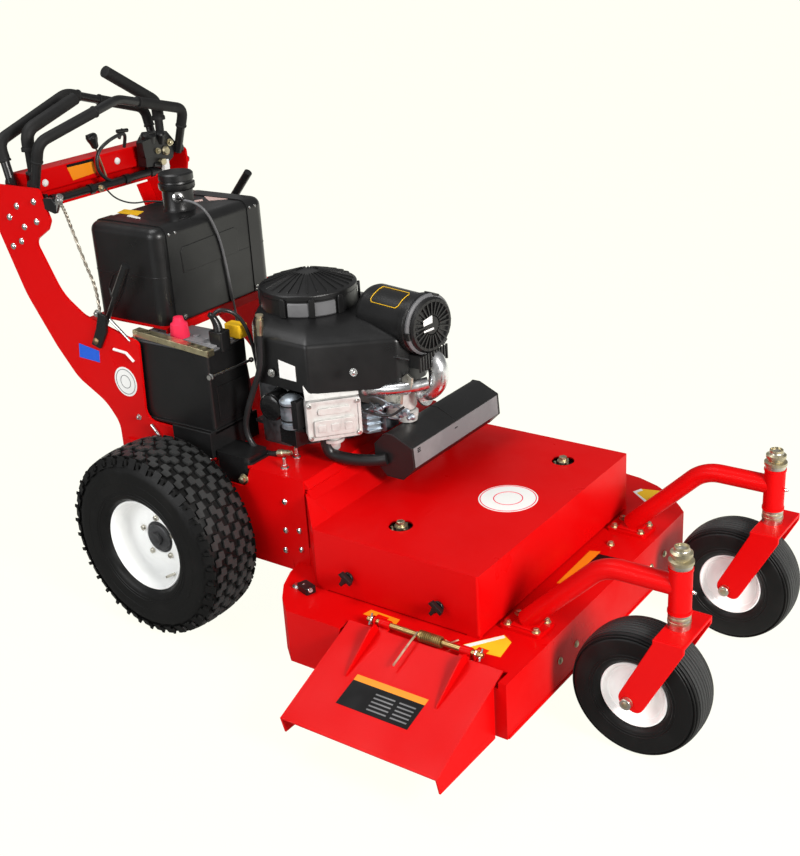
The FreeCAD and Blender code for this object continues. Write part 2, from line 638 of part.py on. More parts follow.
def deck_shell():
    """Pressed cutter deck, open below, with its discharge opening and two spindle housings."""
    body = new_body("deck_shell")
    plan_slab(body, "deckTop - deckSheet", "deckSheet", deck_outline(0.0))
    plan_slab(body, "deckFoot", "deckTop - deckSheet - deckFoot", deck_outline(0.0),
              deck_outline(S.deckSheet))
    outside = S.deckRight - S.deckSheet * 5
    mouth = sketch_on(body, "XY", "deckFoot")
    draw(mouth, box_points(S.chuteRear + S.chuteGap, outside, S.chuteFront - S.chuteGap,
                           S.deckRight + S.deckSheet * 10))
    pocket(body, mouth, "deckTop - deckSheet - deckFoot", flip=True)
    notch = sketch_on(body, "XY", "deckTop - mouthDrop")
    draw(notch, box_points(S.chuteRear - S.chuteGap, outside, S.chuteFront + S.chuteGap,
                           S.chuteHingeY - S.chuteDrop))
    pocket(body, notch, "mouthDrop + 5", flip=True)
    for x, y in ((S.spindleRightX, S.spindleRightY), (S.spindleLeftX, S.spindleLeftY)):
        above = sketch_on(body, "XY", "bladeLevel + bladeLift")
        draw_circle(above, x, y, S.housingRadius)
        pad(body, above, "coverFoot + 6 - bladeLevel - bladeLift")
        bore = sketch_on(body, "XY", "bladeLevel")
        draw_circle(bore, x, y, S.shaftRadius + S.pinGap)
        pocket(body, bore, "coverTop - bladeLevel", flip=True)
    hinge_y, hinge_z = S.chuteHingeY, S.chuteHingeZ
    round_end = S.chuteRod + 4
    for x in ("ribRear - knuckleGap - deckSheet", "ribFront + chuteSheet + knuckleGap"):
        ear = sketch_on(body, "YZ", x)
        draw(ear, [(hinge_y - round_end, hinge_z + round_end, 8), (hinge_y - round_end, S.deckTop + 2, 4),
                   (hinge_y + 24, S.deckTop - 2), (hinge_y + 46, S.deckTop - 2),
                   (hinge_y + 12, hinge_z + round_end, 8)])
        draw_circle(ear, hinge_y, hinge_z, S.chuteRod)
        pad(body, ear, "deckSheet")
    return body


def belt_cover():
    """Box cover over the blade belt, open below, with spindle holes and a tail that rises to the frame."""
    body = new_body("belt_cover")
    half = S.coverHalf
    plan_slab(body, "coverFoot", "coverTop - coverFoot",
              box_points(S.coverRear, -half, S.coverFront, half, 5))
    hollow = sketch_on(body, "XY", "coverFoot")
    wall = S.coverSheet
    draw(hollow, box_points(S.coverRear + wall, -half + wall, S.coverFront - wall, half - wall, 3))
    pocket(body, hollow, "coverTop - coverFoot - coverSheet", flip=True)
    for x, y in ((S.spindleRightX, S.spindleRightY), (S.spindleLeftX, S.spindleLeftY)):
        hole = sketch_on(body, "XY", "coverTop")
        draw_circle(hole, x, y, S.boltHole)
        pocket(body, hole, "coverSheet + 1")
    top = S.coverTop
    tail = [(S.coverRear + wall, top), (S.coverRear, top, 6), (S.tailBendX, S.tailBendZ, 12),
            (S.tailEndX, S.tailEndZ), (S.tailEndX - wall * 0.8, S.tailEndZ - wall * 0.6),
            (S.tailBendX - wall * 0.9, S.tailBendZ - wall * 0.9, 9), (S.coverRear, top - wall, 4),
            (S.coverRear + wall, top - wall)]
    side_slab(body, "tailHalf", "2 * tailHalf", tail)
    cheek = [(S.coverRear + wall, top), (S.coverRear, top), (S.tailBendX, S.tailBendZ),
             (S.tailEndX, S.tailEndZ),
             (S.tailEndX, S.tailFoot), (S.coverRear + wall, S.tailFoot)]
    for left in ("tailHalf", "-tailHalf + coverSheet"):
        side_slab(body, left, "coverSheet", cheek)
    for x in (S.coverRear, S.coverFront - 30):
        for y in (-half, half - 12):
            foot = sketch_on(body, "XY", "deckTop")
            draw(foot, box_points(x, y, x + 30, y + 12))
            pad(body, foot, "coverFoot + 4 - deckTop")
    return body


def blade(side):
    """Cutting blade with its spindle shaft, pulley and nuts, turning as one piece."""
    name = side_name(side)
    spot = ("spindleLeftX", "spindleLeftY") if side > 0 else ("spindleRightX", "spindleRightY")
    body = new_body("blade_" + name, spot[0], spot[1], "bladeLevel")
    long = S.bladeRadius
    plan_slab(body, "0", "bladeSheet", [(-long, -29, 3), (-long + 90, -29), (-long + 100, -26), (long, -26),
                                       (long, 29, 3), (long - 90, 29), (long - 100, 26), (-long, 26)])
    shaft = S.shaftRadius
    sheet_top = S.bladeSheet
    housing = S.bladeLift - S.seatGap
    above = S.coverFoot + 6 - S.bladeLevel + S.seatGap
    sketch = sketch_on(body, "XZ")
    draw(sketch, [(0, -14), (17, -14, 2), (17, 0), (26, 0), (26, sheet_top), (26, housing),
                  (shaft, housing),
                  (shaft, above), (26, above), (26, above + 6), (S.pulleyRadius, above + 6),
                  (S.pulleyRadius - 12, above + 17), (S.pulleyRadius, above + 28), (24, above + 28),
                  (24, above + 34), (16, above + 34), (16, above + 50, 2), (9, above + 50),
                  (9, above + 62, 2), (0, above + 62)])
    revolve(body, sketch, "V_Axis")
    return body


def hanging(y, z):
    """A point of the machine's section as seen from the sloped flap."""
    slope = math.radians(S.chuteSlope)
    dy, dz = y - S.chuteHingeY, z - S.chuteHingeZ
    return (dy * math.cos(slope) + dz * math.sin(slope), dz * math.cos(slope) - dy * math.sin(slope))


def chute_flap():
    """Sloped discharge flap with level-footed side flanges, two gusset ribs and its hinge knuckles."""
    body = new_body("chute_flap", "0", "chuteHingeY", "chuteHingeZ", X_AXIS, S.chuteSlope)
    wall = S.chuteSheet
    top = -S.chuteDrop
    edge = -(S.chuteRod + S.knuckleGap)
    plan_slab(body, "-chuteDrop - chuteSheet", "chuteSheet",
              [(S.chuteRear, -S.chuteReach), (S.chuteFront, -S.chuteReach), (S.chuteFront, edge),
               (S.chuteRear, edge)])
    slope = math.radians(S.chuteSlope)
    shoulder = (S.chuteInner - S.chuteHingeY + top * math.sin(slope)) / math.cos(slope)
    for x in ("chuteRear", "chuteFront - chuteSheet"):
        flange = sketch_on(body, "YZ", x)
        draw(flange, [(shoulder, top), hanging(S.chuteInner, S.chuteFoot), hanging(S.chuteOuter,
                                                                                   S.chuteFoot),
                      (-S.chuteReach, top)])
        pad(body, flange, "chuteSheet")
    for x in ("ribRear", "ribFront"):
        rib = sketch_on(body, "YZ", x)
        draw(rib, [(edge, top - wall), (edge, top + S.ribRise * 0.8, 6), (edge * 2.4, top + S.ribRise, 8),
                   (-S.ribReach, top + 3), (-S.ribReach, top - wall)])
        pad(body, rib, "chuteSheet")
    for x in ("ribRear", "ribFront + chuteSheet - knuckleLong"):
        knuckle = sketch_on(body, "YZ", x)
        draw_circle(knuckle, 0, 0, S.chuteRod + 4)
        pad(body, knuckle, "knuckleLong")
        web = sketch_on(body, "YZ", x)
        draw(web, box_points(edge - wall, top - wall, 0, top))
        pad(body, web, "knuckleLong")
        bore = sketch_on(body, "YZ", x)
        draw_circle(bore, 0, 0, S.chuteRod + S.pinGap)
        pocket(body, bore, "knuckleLong", flip=True)
    return body


def chute_rod():
    """Hinge rod of the discharge flap, held by the deck's two ears."""
    body = new_body("chute_rod", "0", "chuteHingeY", "chuteHingeZ")
    rod = sketch_on(body, "YZ", "ribRear - knuckleGap - 3 * deckSheet")
    draw_circle(rod, 0, 0, S.chuteRod)
    pad(body, rod, "ribFront + chuteSheet - ribRear + 2 * knuckleGap + 6 * deckSheet")
    return body


# ---------------------------------------------------------------- handle and controls

def console():
    """Box beam across the handle that carries the hand levers."""
    body = new_body("console")
    front, back, foot = S.consoleFront, S.consoleFront - S.consoleDepth, S.consoleFoot
    side_slab(body, "consoleHalf", "2 * consoleHalf", box_points(back, foot, front, S.consoleTop, 5))
    wall = S.handleSheet
    heel = back + 20
    low = foot - S.consoleSill
    side_slab(body, "sillHalf", "2 * sillHalf",
              [(heel, foot), (heel, low), (front + 24, low), (front + 24, low + wall),
               (heel + wall, low + wall),
               (heel + wall, foot)])
    return body


def bail(label, x, z, tilt, rise, peak):
    """Operator bail: a flat tube loop with its middle raised, tilted about its pivots."""
    body = new_body(label, x, "0", z, Y_AXIS, SIZES[tilt])
    half = S.bailHalf
    spine = sketch_on(body, "YZ")
    draw(spine, [(-half, 0), (-half, SIZES[rise], 34), (0, SIZES[peak], 60), (half, SIZES[rise], 34),
                 (half, 0)],
         closed=False)
    profile = sketch_on(body, "XY")
    draw_circle(profile, 0, -half, S.bailTube)
    tube(body, spine, profile)
    for left in ("sillHalf", "-bailHalf"):
        pin = sketch_on(body, "XZ", "-(" + left + ")")
        draw_circle(pin, 0, S.bailPin + 2, S.bailPin)
        pad(body, pin, "sillHalf - bailHalf")
    return body


def grip(side):
    """L-shaped hand grip: a short stem and a sleeve that leans in over the console."""
    body = new_body("grip_" + side_name(side), "consoleFront + gripTube + seatGap",
                    signed(side, "gripSpread"), "consoleFoot + gripLift", Z_AXIS,
                    0.0 if side > 0 else 180.0)
    rise = S.gripRise
    lean = rise + (S.gripLeanLeft if side > 0 else S.gripLeanRight)
    spine = sketch_on(body, "YZ")
    draw(spine, [(0, 0), (0, rise, 36), (-S.gripReach, lean)], closed=False)
    profile = sketch_on(body, "XY")
    draw_circle(profile, 0, 0, S.gripTube)
    tube(body, spine, profile)
    return body


def controls():
    """Cross rail of the hand controls below the console, hung from it on two hangers."""
    body = new_body("controls")
    reach = S.consoleHalf - 26
    rail = sketch_on(body, "XZ", str(-reach))
    draw_circle(rail, S.consoleFront + 18, S.consoleFoot - 16, S.railRadius)
    pad(body, rail, str(2 * reach))
    for y in (-reach + 10, reach - 22):
        hanger = sketch_on(body, "XZ", str(-y))
        draw(hanger, box_points(S.consoleFront - 16, S.consoleFoot - 20, S.consoleFront + 22,
                                S.consoleFoot))
        pad(body, hanger, "8")
    return body


def lever_rod(body, foot, tip, radius):
    """A round bar between two points of one upright plane."""
    along = tip - foot
    disc = sketch_on(body, "XZ", str(-foot.y))
    disc.AttachmentOffset = FreeCAD.Placement(Vec(foot.x, foot.z, -foot.y),
                                              FreeCAD.Rotation(Vec(-along.z, along.x, 0), 90))
    draw_circle(disc, 0, 0, SIZES[radius])
    return pad(body, disc, str(along.Length))


def side_levers():
    """Brake lever on the right handle plate and drive lever on the left one."""
    body = new_body("side_levers")
    for side, name in ((-1, "brakeLever"), (1, "driveLever")):
        x, z, tilt = SIZES[name + "X"], SIZES[name + "Z"], math.radians(SIZES[name + "Tilt"])
        y = side * (S.handleInner - S.leverInset)
        along = Vec(math.sin(tilt), 0, math.cos(tilt))
        foot = Vec(x, y, z)
        knee = foot + along * (SIZES[name + "Long"] * 0.58)
        tip = foot + along * SIZES[name + "Long"]
        lever_rod(body, foot, knee, "leverTube")
        lever_rod(body, knee, tip, "leverGrip")
        boss = sketch_on(body, "XZ", str(-(y + S.leverInset if side > 0 else y + 10)))
        draw_circle(boss, x, z, 16)
        pad(body, boss, str(S.leverInset + 10))
    return body


# ---------------------------------------------------------------- tank and battery

def fuel_tank():
    """Moulded fuel tank with rounded edges and its filler neck."""
    body = new_body("fuel_tank")
    tank = plan_slab(body, "tankFoot", "tankTop - tankFoot",
                     box_points(S.tankRear, -S.tankHalf, S.tankFront, S.tankHalf, S.tankRound))
    round_level(body, tank, S.tankTop, "tankEdge")
    neck = sketch_on(body, "XY", "tankTop - 2")
    draw_circle(neck, S.neckX, 0, S.neckRadius)
    pad(body, neck, "neckTop - tankTop + 2")
    return body


def tank_straps():
    """Two straps over the tank, with their feet on the shelf."""
    body = new_body("tank_straps")
    edge = S.tankEdge + S.seatGap
    rear = S.tankRear - S.seatGap
    front = S.tankFront + S.seatGap
    top = S.tankTop + S.seatGap
    thick = S.strapSheet
    hoop = [(rear - thick, S.tankFoot), (rear - thick, top + thick, edge + thick),
            (front + thick, top + thick, edge + thick), (front + thick, S.tankFoot), (front, S.tankFoot),
            (front, top, edge), (rear, top, edge), (rear, S.tankFoot)]
    for left in ("strapSpread + strapWide / 2", "-strapSpread + strapWide / 2"):
        side_slab(body, left, "strapWide", hoop)
    return body


def tank_cap():
    """Wide ribbed filler cap over the neck."""
    body = new_body("tank_cap", "neckX", "0", "neckTop")
    rise = S.capHigh
    sketch = sketch_on(body, "XZ")
    draw(sketch, [(0, 0), (S.capRadius - 8, 0, 4), (S.capRadius, 8, 6), (S.capRadius, rise - 10, 10),
                  (S.capRadius - 14, rise, 8), (0, rise)])
    revolve(body, sketch, "V_Axis")
    return body


def battery_box():
    """Open-topped battery box on its tray."""
    body = new_body("battery_box")
    wall = S.batteryWall
    plan_slab(body, "batteryFoot", "batteryTop - batteryFoot",
              box_points(S.batteryRear, S.batteryRight, S.batteryFront, S.batteryLeft, 8))
    hollow = sketch_on(body, "XY", "batteryTop")
    draw(hollow, box_points(S.batteryRear + wall, S.batteryRight + wall, S.batteryFront - wall,
                            S.batteryLeft - wall, 6))
    pocket(body, hollow, "batteryTop - batteryFoot - batteryWall")
    return body


def battery():
    """Battery with its raised lid and two terminals."""
    body = new_body("battery")
    gap = S.batteryWall + S.seatGap
    plan_slab(body, "batteryFoot + batteryWall", "batteryTop + 4 - batteryFoot - batteryWall",
              box_points(S.batteryRear + gap, S.batteryRight + gap, S.batteryFront - gap,
                         S.batteryLeft - gap, 5))
    for x in (S.batteryRear + 40, S.batteryFront - 40):
        post = sketch_on(body, "XY", "batteryTop + 2")
        draw_circle(post, x, S.batteryRight + 50, 9)
        pad(body, post, "12")
    return body


# ---------------------------------------------------------------- engine

def cylinder_point(side, along, across):
    """Plan position of a point along a cylinder's axis from the crankshaft."""
    angle = math.radians(S.cylinderAngle) * side
    return (S.crankX + along * math.cos(angle) - across * math.sin(angle),
            along * math.sin(angle) + across * math.cos(angle))


def crankcase():
    """Crankcase whose two front flats carry the cylinders."""
    body = new_body("crankcase")
    root = S.cylinderRoot
    half = S.finHalf + 6
    outline = [cylinder_point(-1, root, half), cylinder_point(1, root, -half), cylinder_point(1, root,
                                                                                              half),
               (S.crankX + 12, S.crankcaseHalf), (S.crankX - 65, S.crankcaseHalf, 20),
               (S.crankX - 120, 70, 20),
               (S.crankX - 120, -70, 20), (S.crankX - 65, -S.crankcaseHalf, 20),
               (S.crankX + 12, -S.crankcaseHalf),
               cylinder_point(-1, root, -half)]
    plan_slab(body, "engineFoot", "crankcaseTop - engineFoot", outline)
    return body


def cylinder(side):
    """Finned barrel, head and valve cover of one cylinder, drawn along its own axis."""
    body = new_body("cylinder_" + side_name(side), "crankX", "0", "cylinderLevel",
                    Z_AXIS, S.cylinderAngle * side)
    fin = S.finHalf
    barrel = sketch_on(body, "YZ", "cylinderRoot")
    draw(barrel, box_points(-fin + 14, -fin + 14, fin - 14, fin - 14, 18))
    pad(body, barrel, "headReach - cylinderRoot")
    plate = sketch_on(body, "YZ", "cylinderRoot + 6")
    draw(plate, box_points(-fin, -fin, fin, fin, 10))
    one = pad(body, plate, "finSheet")
    count = int((S.cylinderReach - S.cylinderRoot - 6) / S.finPitch) + 1
    row_of(body, one, "N_Axis", "finPitch * " + str(count - 1), count, plate)
    head = sketch_on(body, "YZ", "cylinderReach + 8")
    draw(head, box_points(-fin - 2, -fin + 6, fin + 2, fin - 6, 12))
    pad(body, head, "headReach - cylinderReach - 8")
    cover = sketch_on(body, "YZ", "headReach")
    draw(cover, box_points(-S.valveHalfWide, -S.valveHalfHigh, S.valveHalfWide, S.valveHalfHigh, 12))
    pad(body, cover, "valveReach - headReach")
    return body


def shroud():
    """Blower housing: body over the cylinders, lower nose under the air cleaner, round fan ring."""
    body = new_body("shroud")
    reach = S.headReach + 10
    half = S.finHalf
    right = [cylinder_point(-1, reach, half), cylinder_point(-1, reach, -half)]
    left = [cylinder_point(1, reach, half), cylinder_point(1, reach, -half)]
    rear_x = S.crankX - 152
    nose = [(474, -58, 20), (486, -30, 10), (486, 30, 10), (474, 58, 20)]
    back = [(S.crankX - 20, 176, 40), (S.crankX - 92, 104, 50), (rear_x, 0, 100), (S.crankX - 92, -104, 50),
            (S.crankX - 20, -176, 40)]
    plan_slab(body, "crankcaseTop", "shroudNose - crankcaseTop",
              [right[0] + (8,)] + nose + [left[1] + (8,), left[0] + (14,)] + back + [right[1] + (14,)])
    plan_slab(body, "shroudNose - ventDrop", "ventHigh", box_points(470, -30, S.cleanerEnd + 4, 40, 8))
    upper = plan_slab(body, "shroudNose", "shroudTop - shroudNose",
                      [(338, -70, 20), (338, 70, 20), left[0] + (14,)] + back + [right[1] + (14,)])
    slope_level(body, upper, S.shroudTop, "shroudSlope")
    ring = sketch_on(body, "XY", "shroudTop")
    draw_circle(ring, S.crankX, 0, S.fanRadius)
    pad(body, ring, "fanTop - shroudTop")
    return body


def fan_screen():
    """Shallow debris screen over the blower, with raised ribs that run out from its middle."""
    body = new_body("fan_screen", "crankX", "0", "fanTop")
    rib = S.screenRib
    rise = S.screenTop - S.fanTop - rib
    radius = S.screenRadius
    rim = rise * 0.4
    hub = radius * 0.3
    sketch = sketch_on(body, "XZ")
    draw(sketch, [(0, 0), (radius, 0), (radius, rim - 4, 3), (radius - 10, rim, 4), (hub, rise, 20),
                  (0, rise)])
    revolve(body, sketch, "V_Axis")
    bar = sketch_on(body, "XZ", str(-rib / 2))
    draw(bar, [(radius - 8, rim - 6), (radius - 8, rim + rib, 2), (hub, rise + rib, 20),
               (hub - 8, rise + rib),
               (hub - 8, rise - 6)])
    one = pad(body, bar, "screenRib")
    fan = body.newObject("PartDesign::PolarPattern", body.Label + "_ribs")
    fan.Originals = [one]
    fan.Axis = (bar, ["V_Axis"])
    fan.Angle = 360.0
    bind(fan, "Occurrences", "screenRibs")
    body.Tip = fan
    return body


def air_cleaner():
    """Canister air cleaner lying forward over the intake, turned a little, with a ribbed end cap."""
    body = new_body("air_cleaner", "cleanerEnd", "0", "shroudNose + cleanerRadius + seatGap",
                    Z_AXIS, S.cleanerTurn)
    radius = S.cleanerRadius
    rear = -S.cleanerLong
    ring = radius + 4
    sketch = sketch_on(body, "XY")
    draw(sketch, [(rear, 0), (rear, radius - 4, 6), (rear + 12, radius, 6), (-34, radius), (-34, ring, 2),
                  (-19, ring, 2), (-6, radius - 10, 8), (0, radius - 26, 6), (0, 0)])
    revolve(body, sketch)
    return body


def carburetor():
    """Intake castings between the cylinders, below the air cleaner."""
    body = new_body("carburetor")
    foot = S.engineFoot + 100
    plan_slab(body, str(foot), "crankcaseTop - seatGap - " + str(foot),
              [(320, -22, 6), (458, -34, 12), (472, 0, 20), (458, 34, 12), (320, 22, 6)])
    plan_slab(body, str(foot - 22), "22", (424, 0, 26, "circle"))
    return body


def oil_filter():
    """Spin-on oil filter at the right of the crankcase."""
    body = new_body("oil_filter", "filterX", "-crankcaseHalf - seatGap", "filterZ")
    radius = S.filterRadius
    end = -S.filterLong
    sketch = sketch_on(body, "YZ")
    draw(sketch, [(0, 0), (0, radius - 2, 2), (-10, radius, 3), (end + 8, radius, 3),
                  (end, radius - 8, 4), (end, 0)])
    revolve(body, sketch)
    return body


def starter():
    """Starter motor standing on its foot beside the crankcase."""
    body = new_body("starter", "starterX", "starterY", "engineFoot")
    radius = S.starterRadius
    rise = S.starterTop - S.engineFoot
    sketch = sketch_on(body, "XZ")
    draw(sketch, [(0, 0), (radius + 2, 0, 2), (radius + 2, 8), (radius - 6, 10), (radius - 6, 34),
                  (radius, 38, 2),
                  (radius, rise - 22, 4), (radius - 7, rise - 14, 3), (radius - 7, rise, 3), (0, rise)])
    revolve(body, sketch, "V_Axis")
    return body


def muffler():
    """Eight-sided muffler lying across the front of the engine, with its inlet pipe."""
    body = new_body("muffler")
    sketch = sketch_on(body, "XZ", "-mufflerLeft")
    corners = arc_points(S.mufflerX, S.mufflerZ, S.mufflerRadius, 8, 8 + 315, 7)
    draw(sketch, [corner + (6,) for corner in corners])
    pad(body, sketch, "mufflerLeft - mufflerRight")
    return body


def exhaust_pipe():
    """Exhaust pipe from the right cylinder's head down and forward to the muffler."""
    start = cylinder_point(-1, S.headReach - S.exhaustTube + 3.5, 0)
    seat = (S.mufflerX - 14.0, S.mufflerRight - S.exhaustTube - S.seatGap)
    angle = math.degrees(math.atan2(seat[1] - start[1], seat[0] - start[0]))
    body = new_body("exhaust_pipe", str(start[0]), str(start[1]), "0", Z_AXIS, angle)
    top = S.cylinderLevel - S.valveHalfHigh - 2.3
    low = S.engineFoot + S.exhaustTube + 1
    gap = math.hypot(seat[0] - start[0], seat[1] - start[1])
    spine = sketch_on(body, "XZ")
    draw(spine, [(0, top), (0, low, 30), (gap, low)], closed=False)
    profile = sketch_on(body, "XY", str(top))
    draw_circle(profile, 0, 0, S.exhaustTube)
    tube(body, spine, profile)
    return body


# ---------------------------------------------------------------- assembly

SIDES = (-1, 1)

engine_frame()
pump_covers()
tank_shelf()
drive_axle()
deck_shell()
belt_cover()
chute_flap()
chute_rod()
for side in SIDES:
    handle_plate(side)
    rear_tire(side)
    rear_rim(side)
    caster_arm(side)
    caster_fork(side)
    caster_stem(side)
    caster_axle(side)
    caster_tire(side)
    caster_rim(side)
    blade(side)
    grip(side)
    cylinder(side)
console()
controls()
side_levers()
bail("front_bail", "frontBailX", "bailZ", "frontBailTilt", "frontBailRise", "frontBailPeak")
bail("rear_bail", "rearBailX", "bailZ", "rearBailTilt", "rearBailRise", "rearBailPeak")
fuel_tank()
tank_straps()
tank_cap()
battery_box()
battery()
crankcase()
shroud()
fan_screen()
air_cleaner()
carburetor()
oil_filter()
starter()
muffler()
exhaust_pipe()

doc.recompute()

faults = []
for thing in doc.Objects:
    if "Invalid" in thing.State or "Error" in thing.State:
        faults.append("%s %s" % (thing.Label, thing.State))
for body in subparts:
    if body.Shape.isNull() or not body.Shape.isValid():
        faults.append("%s has no valid shape" % body.Label)
if faults:
    raise RuntimeError("; ".join(faults))

os.makedirs("parts", exist_ok=True)
for body in subparts:
    body.Shape.exportStep("parts/%s.step" % body.Label)
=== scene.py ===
import bpy
import bmesh
import json
import math
import random
from mathutils import Matrix, Vector

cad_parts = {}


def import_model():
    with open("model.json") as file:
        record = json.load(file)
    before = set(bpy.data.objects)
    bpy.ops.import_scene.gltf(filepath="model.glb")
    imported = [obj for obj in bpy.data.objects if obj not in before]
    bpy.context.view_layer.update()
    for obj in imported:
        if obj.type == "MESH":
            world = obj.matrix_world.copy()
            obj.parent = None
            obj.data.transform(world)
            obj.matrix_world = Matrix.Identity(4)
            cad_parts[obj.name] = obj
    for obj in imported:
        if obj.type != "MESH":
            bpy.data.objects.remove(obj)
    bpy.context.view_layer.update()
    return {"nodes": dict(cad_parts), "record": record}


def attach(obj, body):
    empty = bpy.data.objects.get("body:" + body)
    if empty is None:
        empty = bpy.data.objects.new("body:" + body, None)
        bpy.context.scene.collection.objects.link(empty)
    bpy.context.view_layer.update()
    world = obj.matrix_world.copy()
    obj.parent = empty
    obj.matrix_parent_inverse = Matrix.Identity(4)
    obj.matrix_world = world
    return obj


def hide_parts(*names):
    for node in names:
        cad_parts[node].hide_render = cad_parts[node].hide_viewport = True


# Walk-behind mower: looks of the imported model. Shapes are given in the machine's own millimetres,
# with x forward from the rear axle, y to its left and z up from the ground. The function at() turns
# them into metres of the row frame.

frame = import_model()
FOOT_X, FOOT_Y = -0.3593, 0.07145
AHEAD, LEFT, UP = Vector((1, 0, 0)), Vector((0, 1, 0)), Vector((0, 0, 1))
BACK, RIGHT = -AHEAD, -LEFT
SIDES = (("right", -1), ("left", 1))
scene = bpy.context.scene


def at(x, y, z):
    """Row-frame point of a place given in the machine's own millimetres."""
    return Vector((x / 1000 + FOOT_X, y / 1000 + FOOT_Y, z / 1000))


def polar(radius, degrees):
    """Two coordinates of a point on a circle about the origin."""
    return radius * math.cos(math.radians(degrees)), radius * math.sin(math.radians(degrees))


# ---------------------------------------------------------------- materials

class Look:
    """A procedural material under construction."""

    def __init__(self, name, color, rough, metal=0.0, coat=0.0, coat_rough=0.1, spec=0.5):
        self.mat = bpy.data.materials.new(name)
        self.mat.use_nodes = True
        self.mat.diffuse_color = (*color, 1)
        self.tree = self.mat.node_tree
        self.shader = self.tree.nodes["Principled BSDF"]
        fill(self.tree, self.shader, {
            "Base Color": (*color, 1), "Roughness": rough, "Metallic": metal, "Coat Weight": coat,
            "Coat Roughness": coat_rough, "Specular IOR Level": spec})
        self.color = (*color, 1)
        self.place = self.node("TexCoord").outputs["Object"]

    def node(self, kind, inputs=(), **settings):
        """Adds a shader node of this kind, with values or sockets for its inputs."""
        return add_node(self.tree, kind, inputs, **settings)

    def noise(self, scale, detail=4.0, rough=0.55, stretch=None):
        """A noise over the object, from 0 to 1."""
        place = self.place
        if stretch:
            place = self.node("Mapping", {"Scale": stretch, "Vector": place}).outputs["Vector"]
        inputs = {"Scale": scale, "Detail": detail, "Roughness": rough, "Vector": place}
        return self.node("TexNoise", inputs).outputs["Fac"]

    def ramp(self, value, low, high, start=0.0, stop=1.0):
        """Maps low..high of a value to start..stop, clamped."""
        inputs = {"From Min": low, "From Max": high, "To Min": start, "To Max": stop, "Value": value}
        return self.node("MapRange", inputs).outputs["Result"]

    def blend_color(self, factor, second):
        """Mixes a second colour over the present one where factor is 1."""
        inputs = {"A": self.color, "B": (*second, 1), "Factor": factor}
        self.color = self.node("Mix", inputs, data_type="RGBA").outputs["Result"]
        fill(self.tree, self.shader, {"Base Color": self.color})

    def roughness(self, scale, detail, low, high):
        """Lets the roughness wander between two values."""
        wander = self.ramp(self.noise(scale, detail), 0.3, 0.75, low, high)
        fill(self.tree, self.shader, {"Roughness": wander})

    def bump(self, height, strength, distance):
        """Raises the surface by a height, over any bump it has."""
        inputs = {"Strength": strength, "Distance": distance, "Height": height}
        fill(self.tree, self.shader, {"Normal": self.node("Bump", inputs).outputs["Normal"]})


def fill(tree, node, inputs):
    """Sets a node's inputs, each to a value or to the socket that feeds it."""
    for key, value in dict(inputs).items():
        if isinstance(value, bpy.types.NodeSocket):
            tree.links.new(value, node.inputs[key])
        else:
            node.inputs[key].default_value = value


def add_node(tree, kind, inputs=(), **settings):
    """Adds a shader node of this kind to a tree."""
    made = tree.nodes.new("ShaderNode" + kind)
    for key, value in settings.items():
        setattr(made, key, value)
    fill(tree, made, inputs)
    return made


def paint_look(name, color, rough=0.34, coat=0.02, spec=0.07):
    """Glossy sprayed enamel: slight orange peel, faint smears and a little dust."""
    look = Look(name, color, rough, coat=coat, coat_rough=0.06, spec=spec)
    smear = look.ramp(look.noise(2.3, 3.0), 0.42, 0.78, 0.0, 0.35)
    look.blend_color(smear, [c * 0.72 for c in color])
    look.roughness(9.0, 5.0, rough * 0.75, rough * 1.6)
    look.bump(look.noise(260.0, 2.0), 0.05, 0.0006)
    return look.mat


def satin_black(name, tone=0.022, rough=0.4, grain=900.0, strength=0.12, spec=0.45):
    """Moulded or powder-coated black or grey with a fine grain and faint lighter scuffs."""
    look = Look(name, (tone, tone, tone * 1.04), rough, spec=spec)
    look.blend_color(look.ramp(look.noise(6.0, 6.0, 0.62), 0.5, 0.85, 0.0, 0.5), [tone * 2.4] * 3)
    look.roughness(14.0, 5.0, rough * 0.8, rough * 1.35)
    look.bump(look.noise(grain, 2.0), strength, 0.0004)
    return look.mat


def metal_look(name, color, rough=0.3, grain=420.0, strength=0.2, stretch=None, metal=1.0):
    """Bare or plated metal with a worked surface and darker stains."""
    look = Look(name, color, rough, metal=metal)
    look.blend_color(look.ramp(look.noise(26.0, 6.0, 0.65), 0.5, 0.82, 0.0, 0.7), [c * 0.45 for c in color])
    look.roughness(60.0, 4.0, rough * 0.7, rough * 1.6)
    look.bump(look.noise(grain, 3.0, 0.6, stretch), strength, 0.0005)
    return look.mat


def rubber_look(name, tone, rough, dust=0.2, lug_highlight=None):
    """Rubber with a fine grain and dusty patches; a wheel's (x, radius) as the last argument gives its outer
    tread a painted highlight, paler than the rest.
    """
    look = Look(name, (tone, tone, tone), rough, spec=0.25)
    if lug_highlight:
        x, radius = lug_highlight
        away = look.node("VectorMath", {0: look.place, 1: at(x, 0, radius)}, operation="SUBTRACT")
        flat = look.node("VectorMath", {0: away.outputs[0], 1: (1, 0, 1)}, operation="MULTIPLY")
        reach = look.node("VectorMath", {0: flat.outputs[0]}, operation="LENGTH").outputs["Value"]
        # Painted highlight: the tread's outer skin, near the full radius, is painted paler than the rest of
        # the tyre.
        tread = look.ramp(reach, radius / 1000 * 0.964, radius / 1000 * 0.984)
        look.blend_color(tread, (0.030, 0.031, 0.031))
    look.blend_color(look.ramp(look.noise(11.0, 7.0, 0.68), 0.5, 0.85, 0.0, dust), (0.12, 0.11, 0.1))
    look.roughness(22.0, 5.0, rough * 0.85, min(rough * 1.3, 1.0))
    look.bump(look.noise(700.0, 3.0), 0.15, 0.0005)
    return look.mat


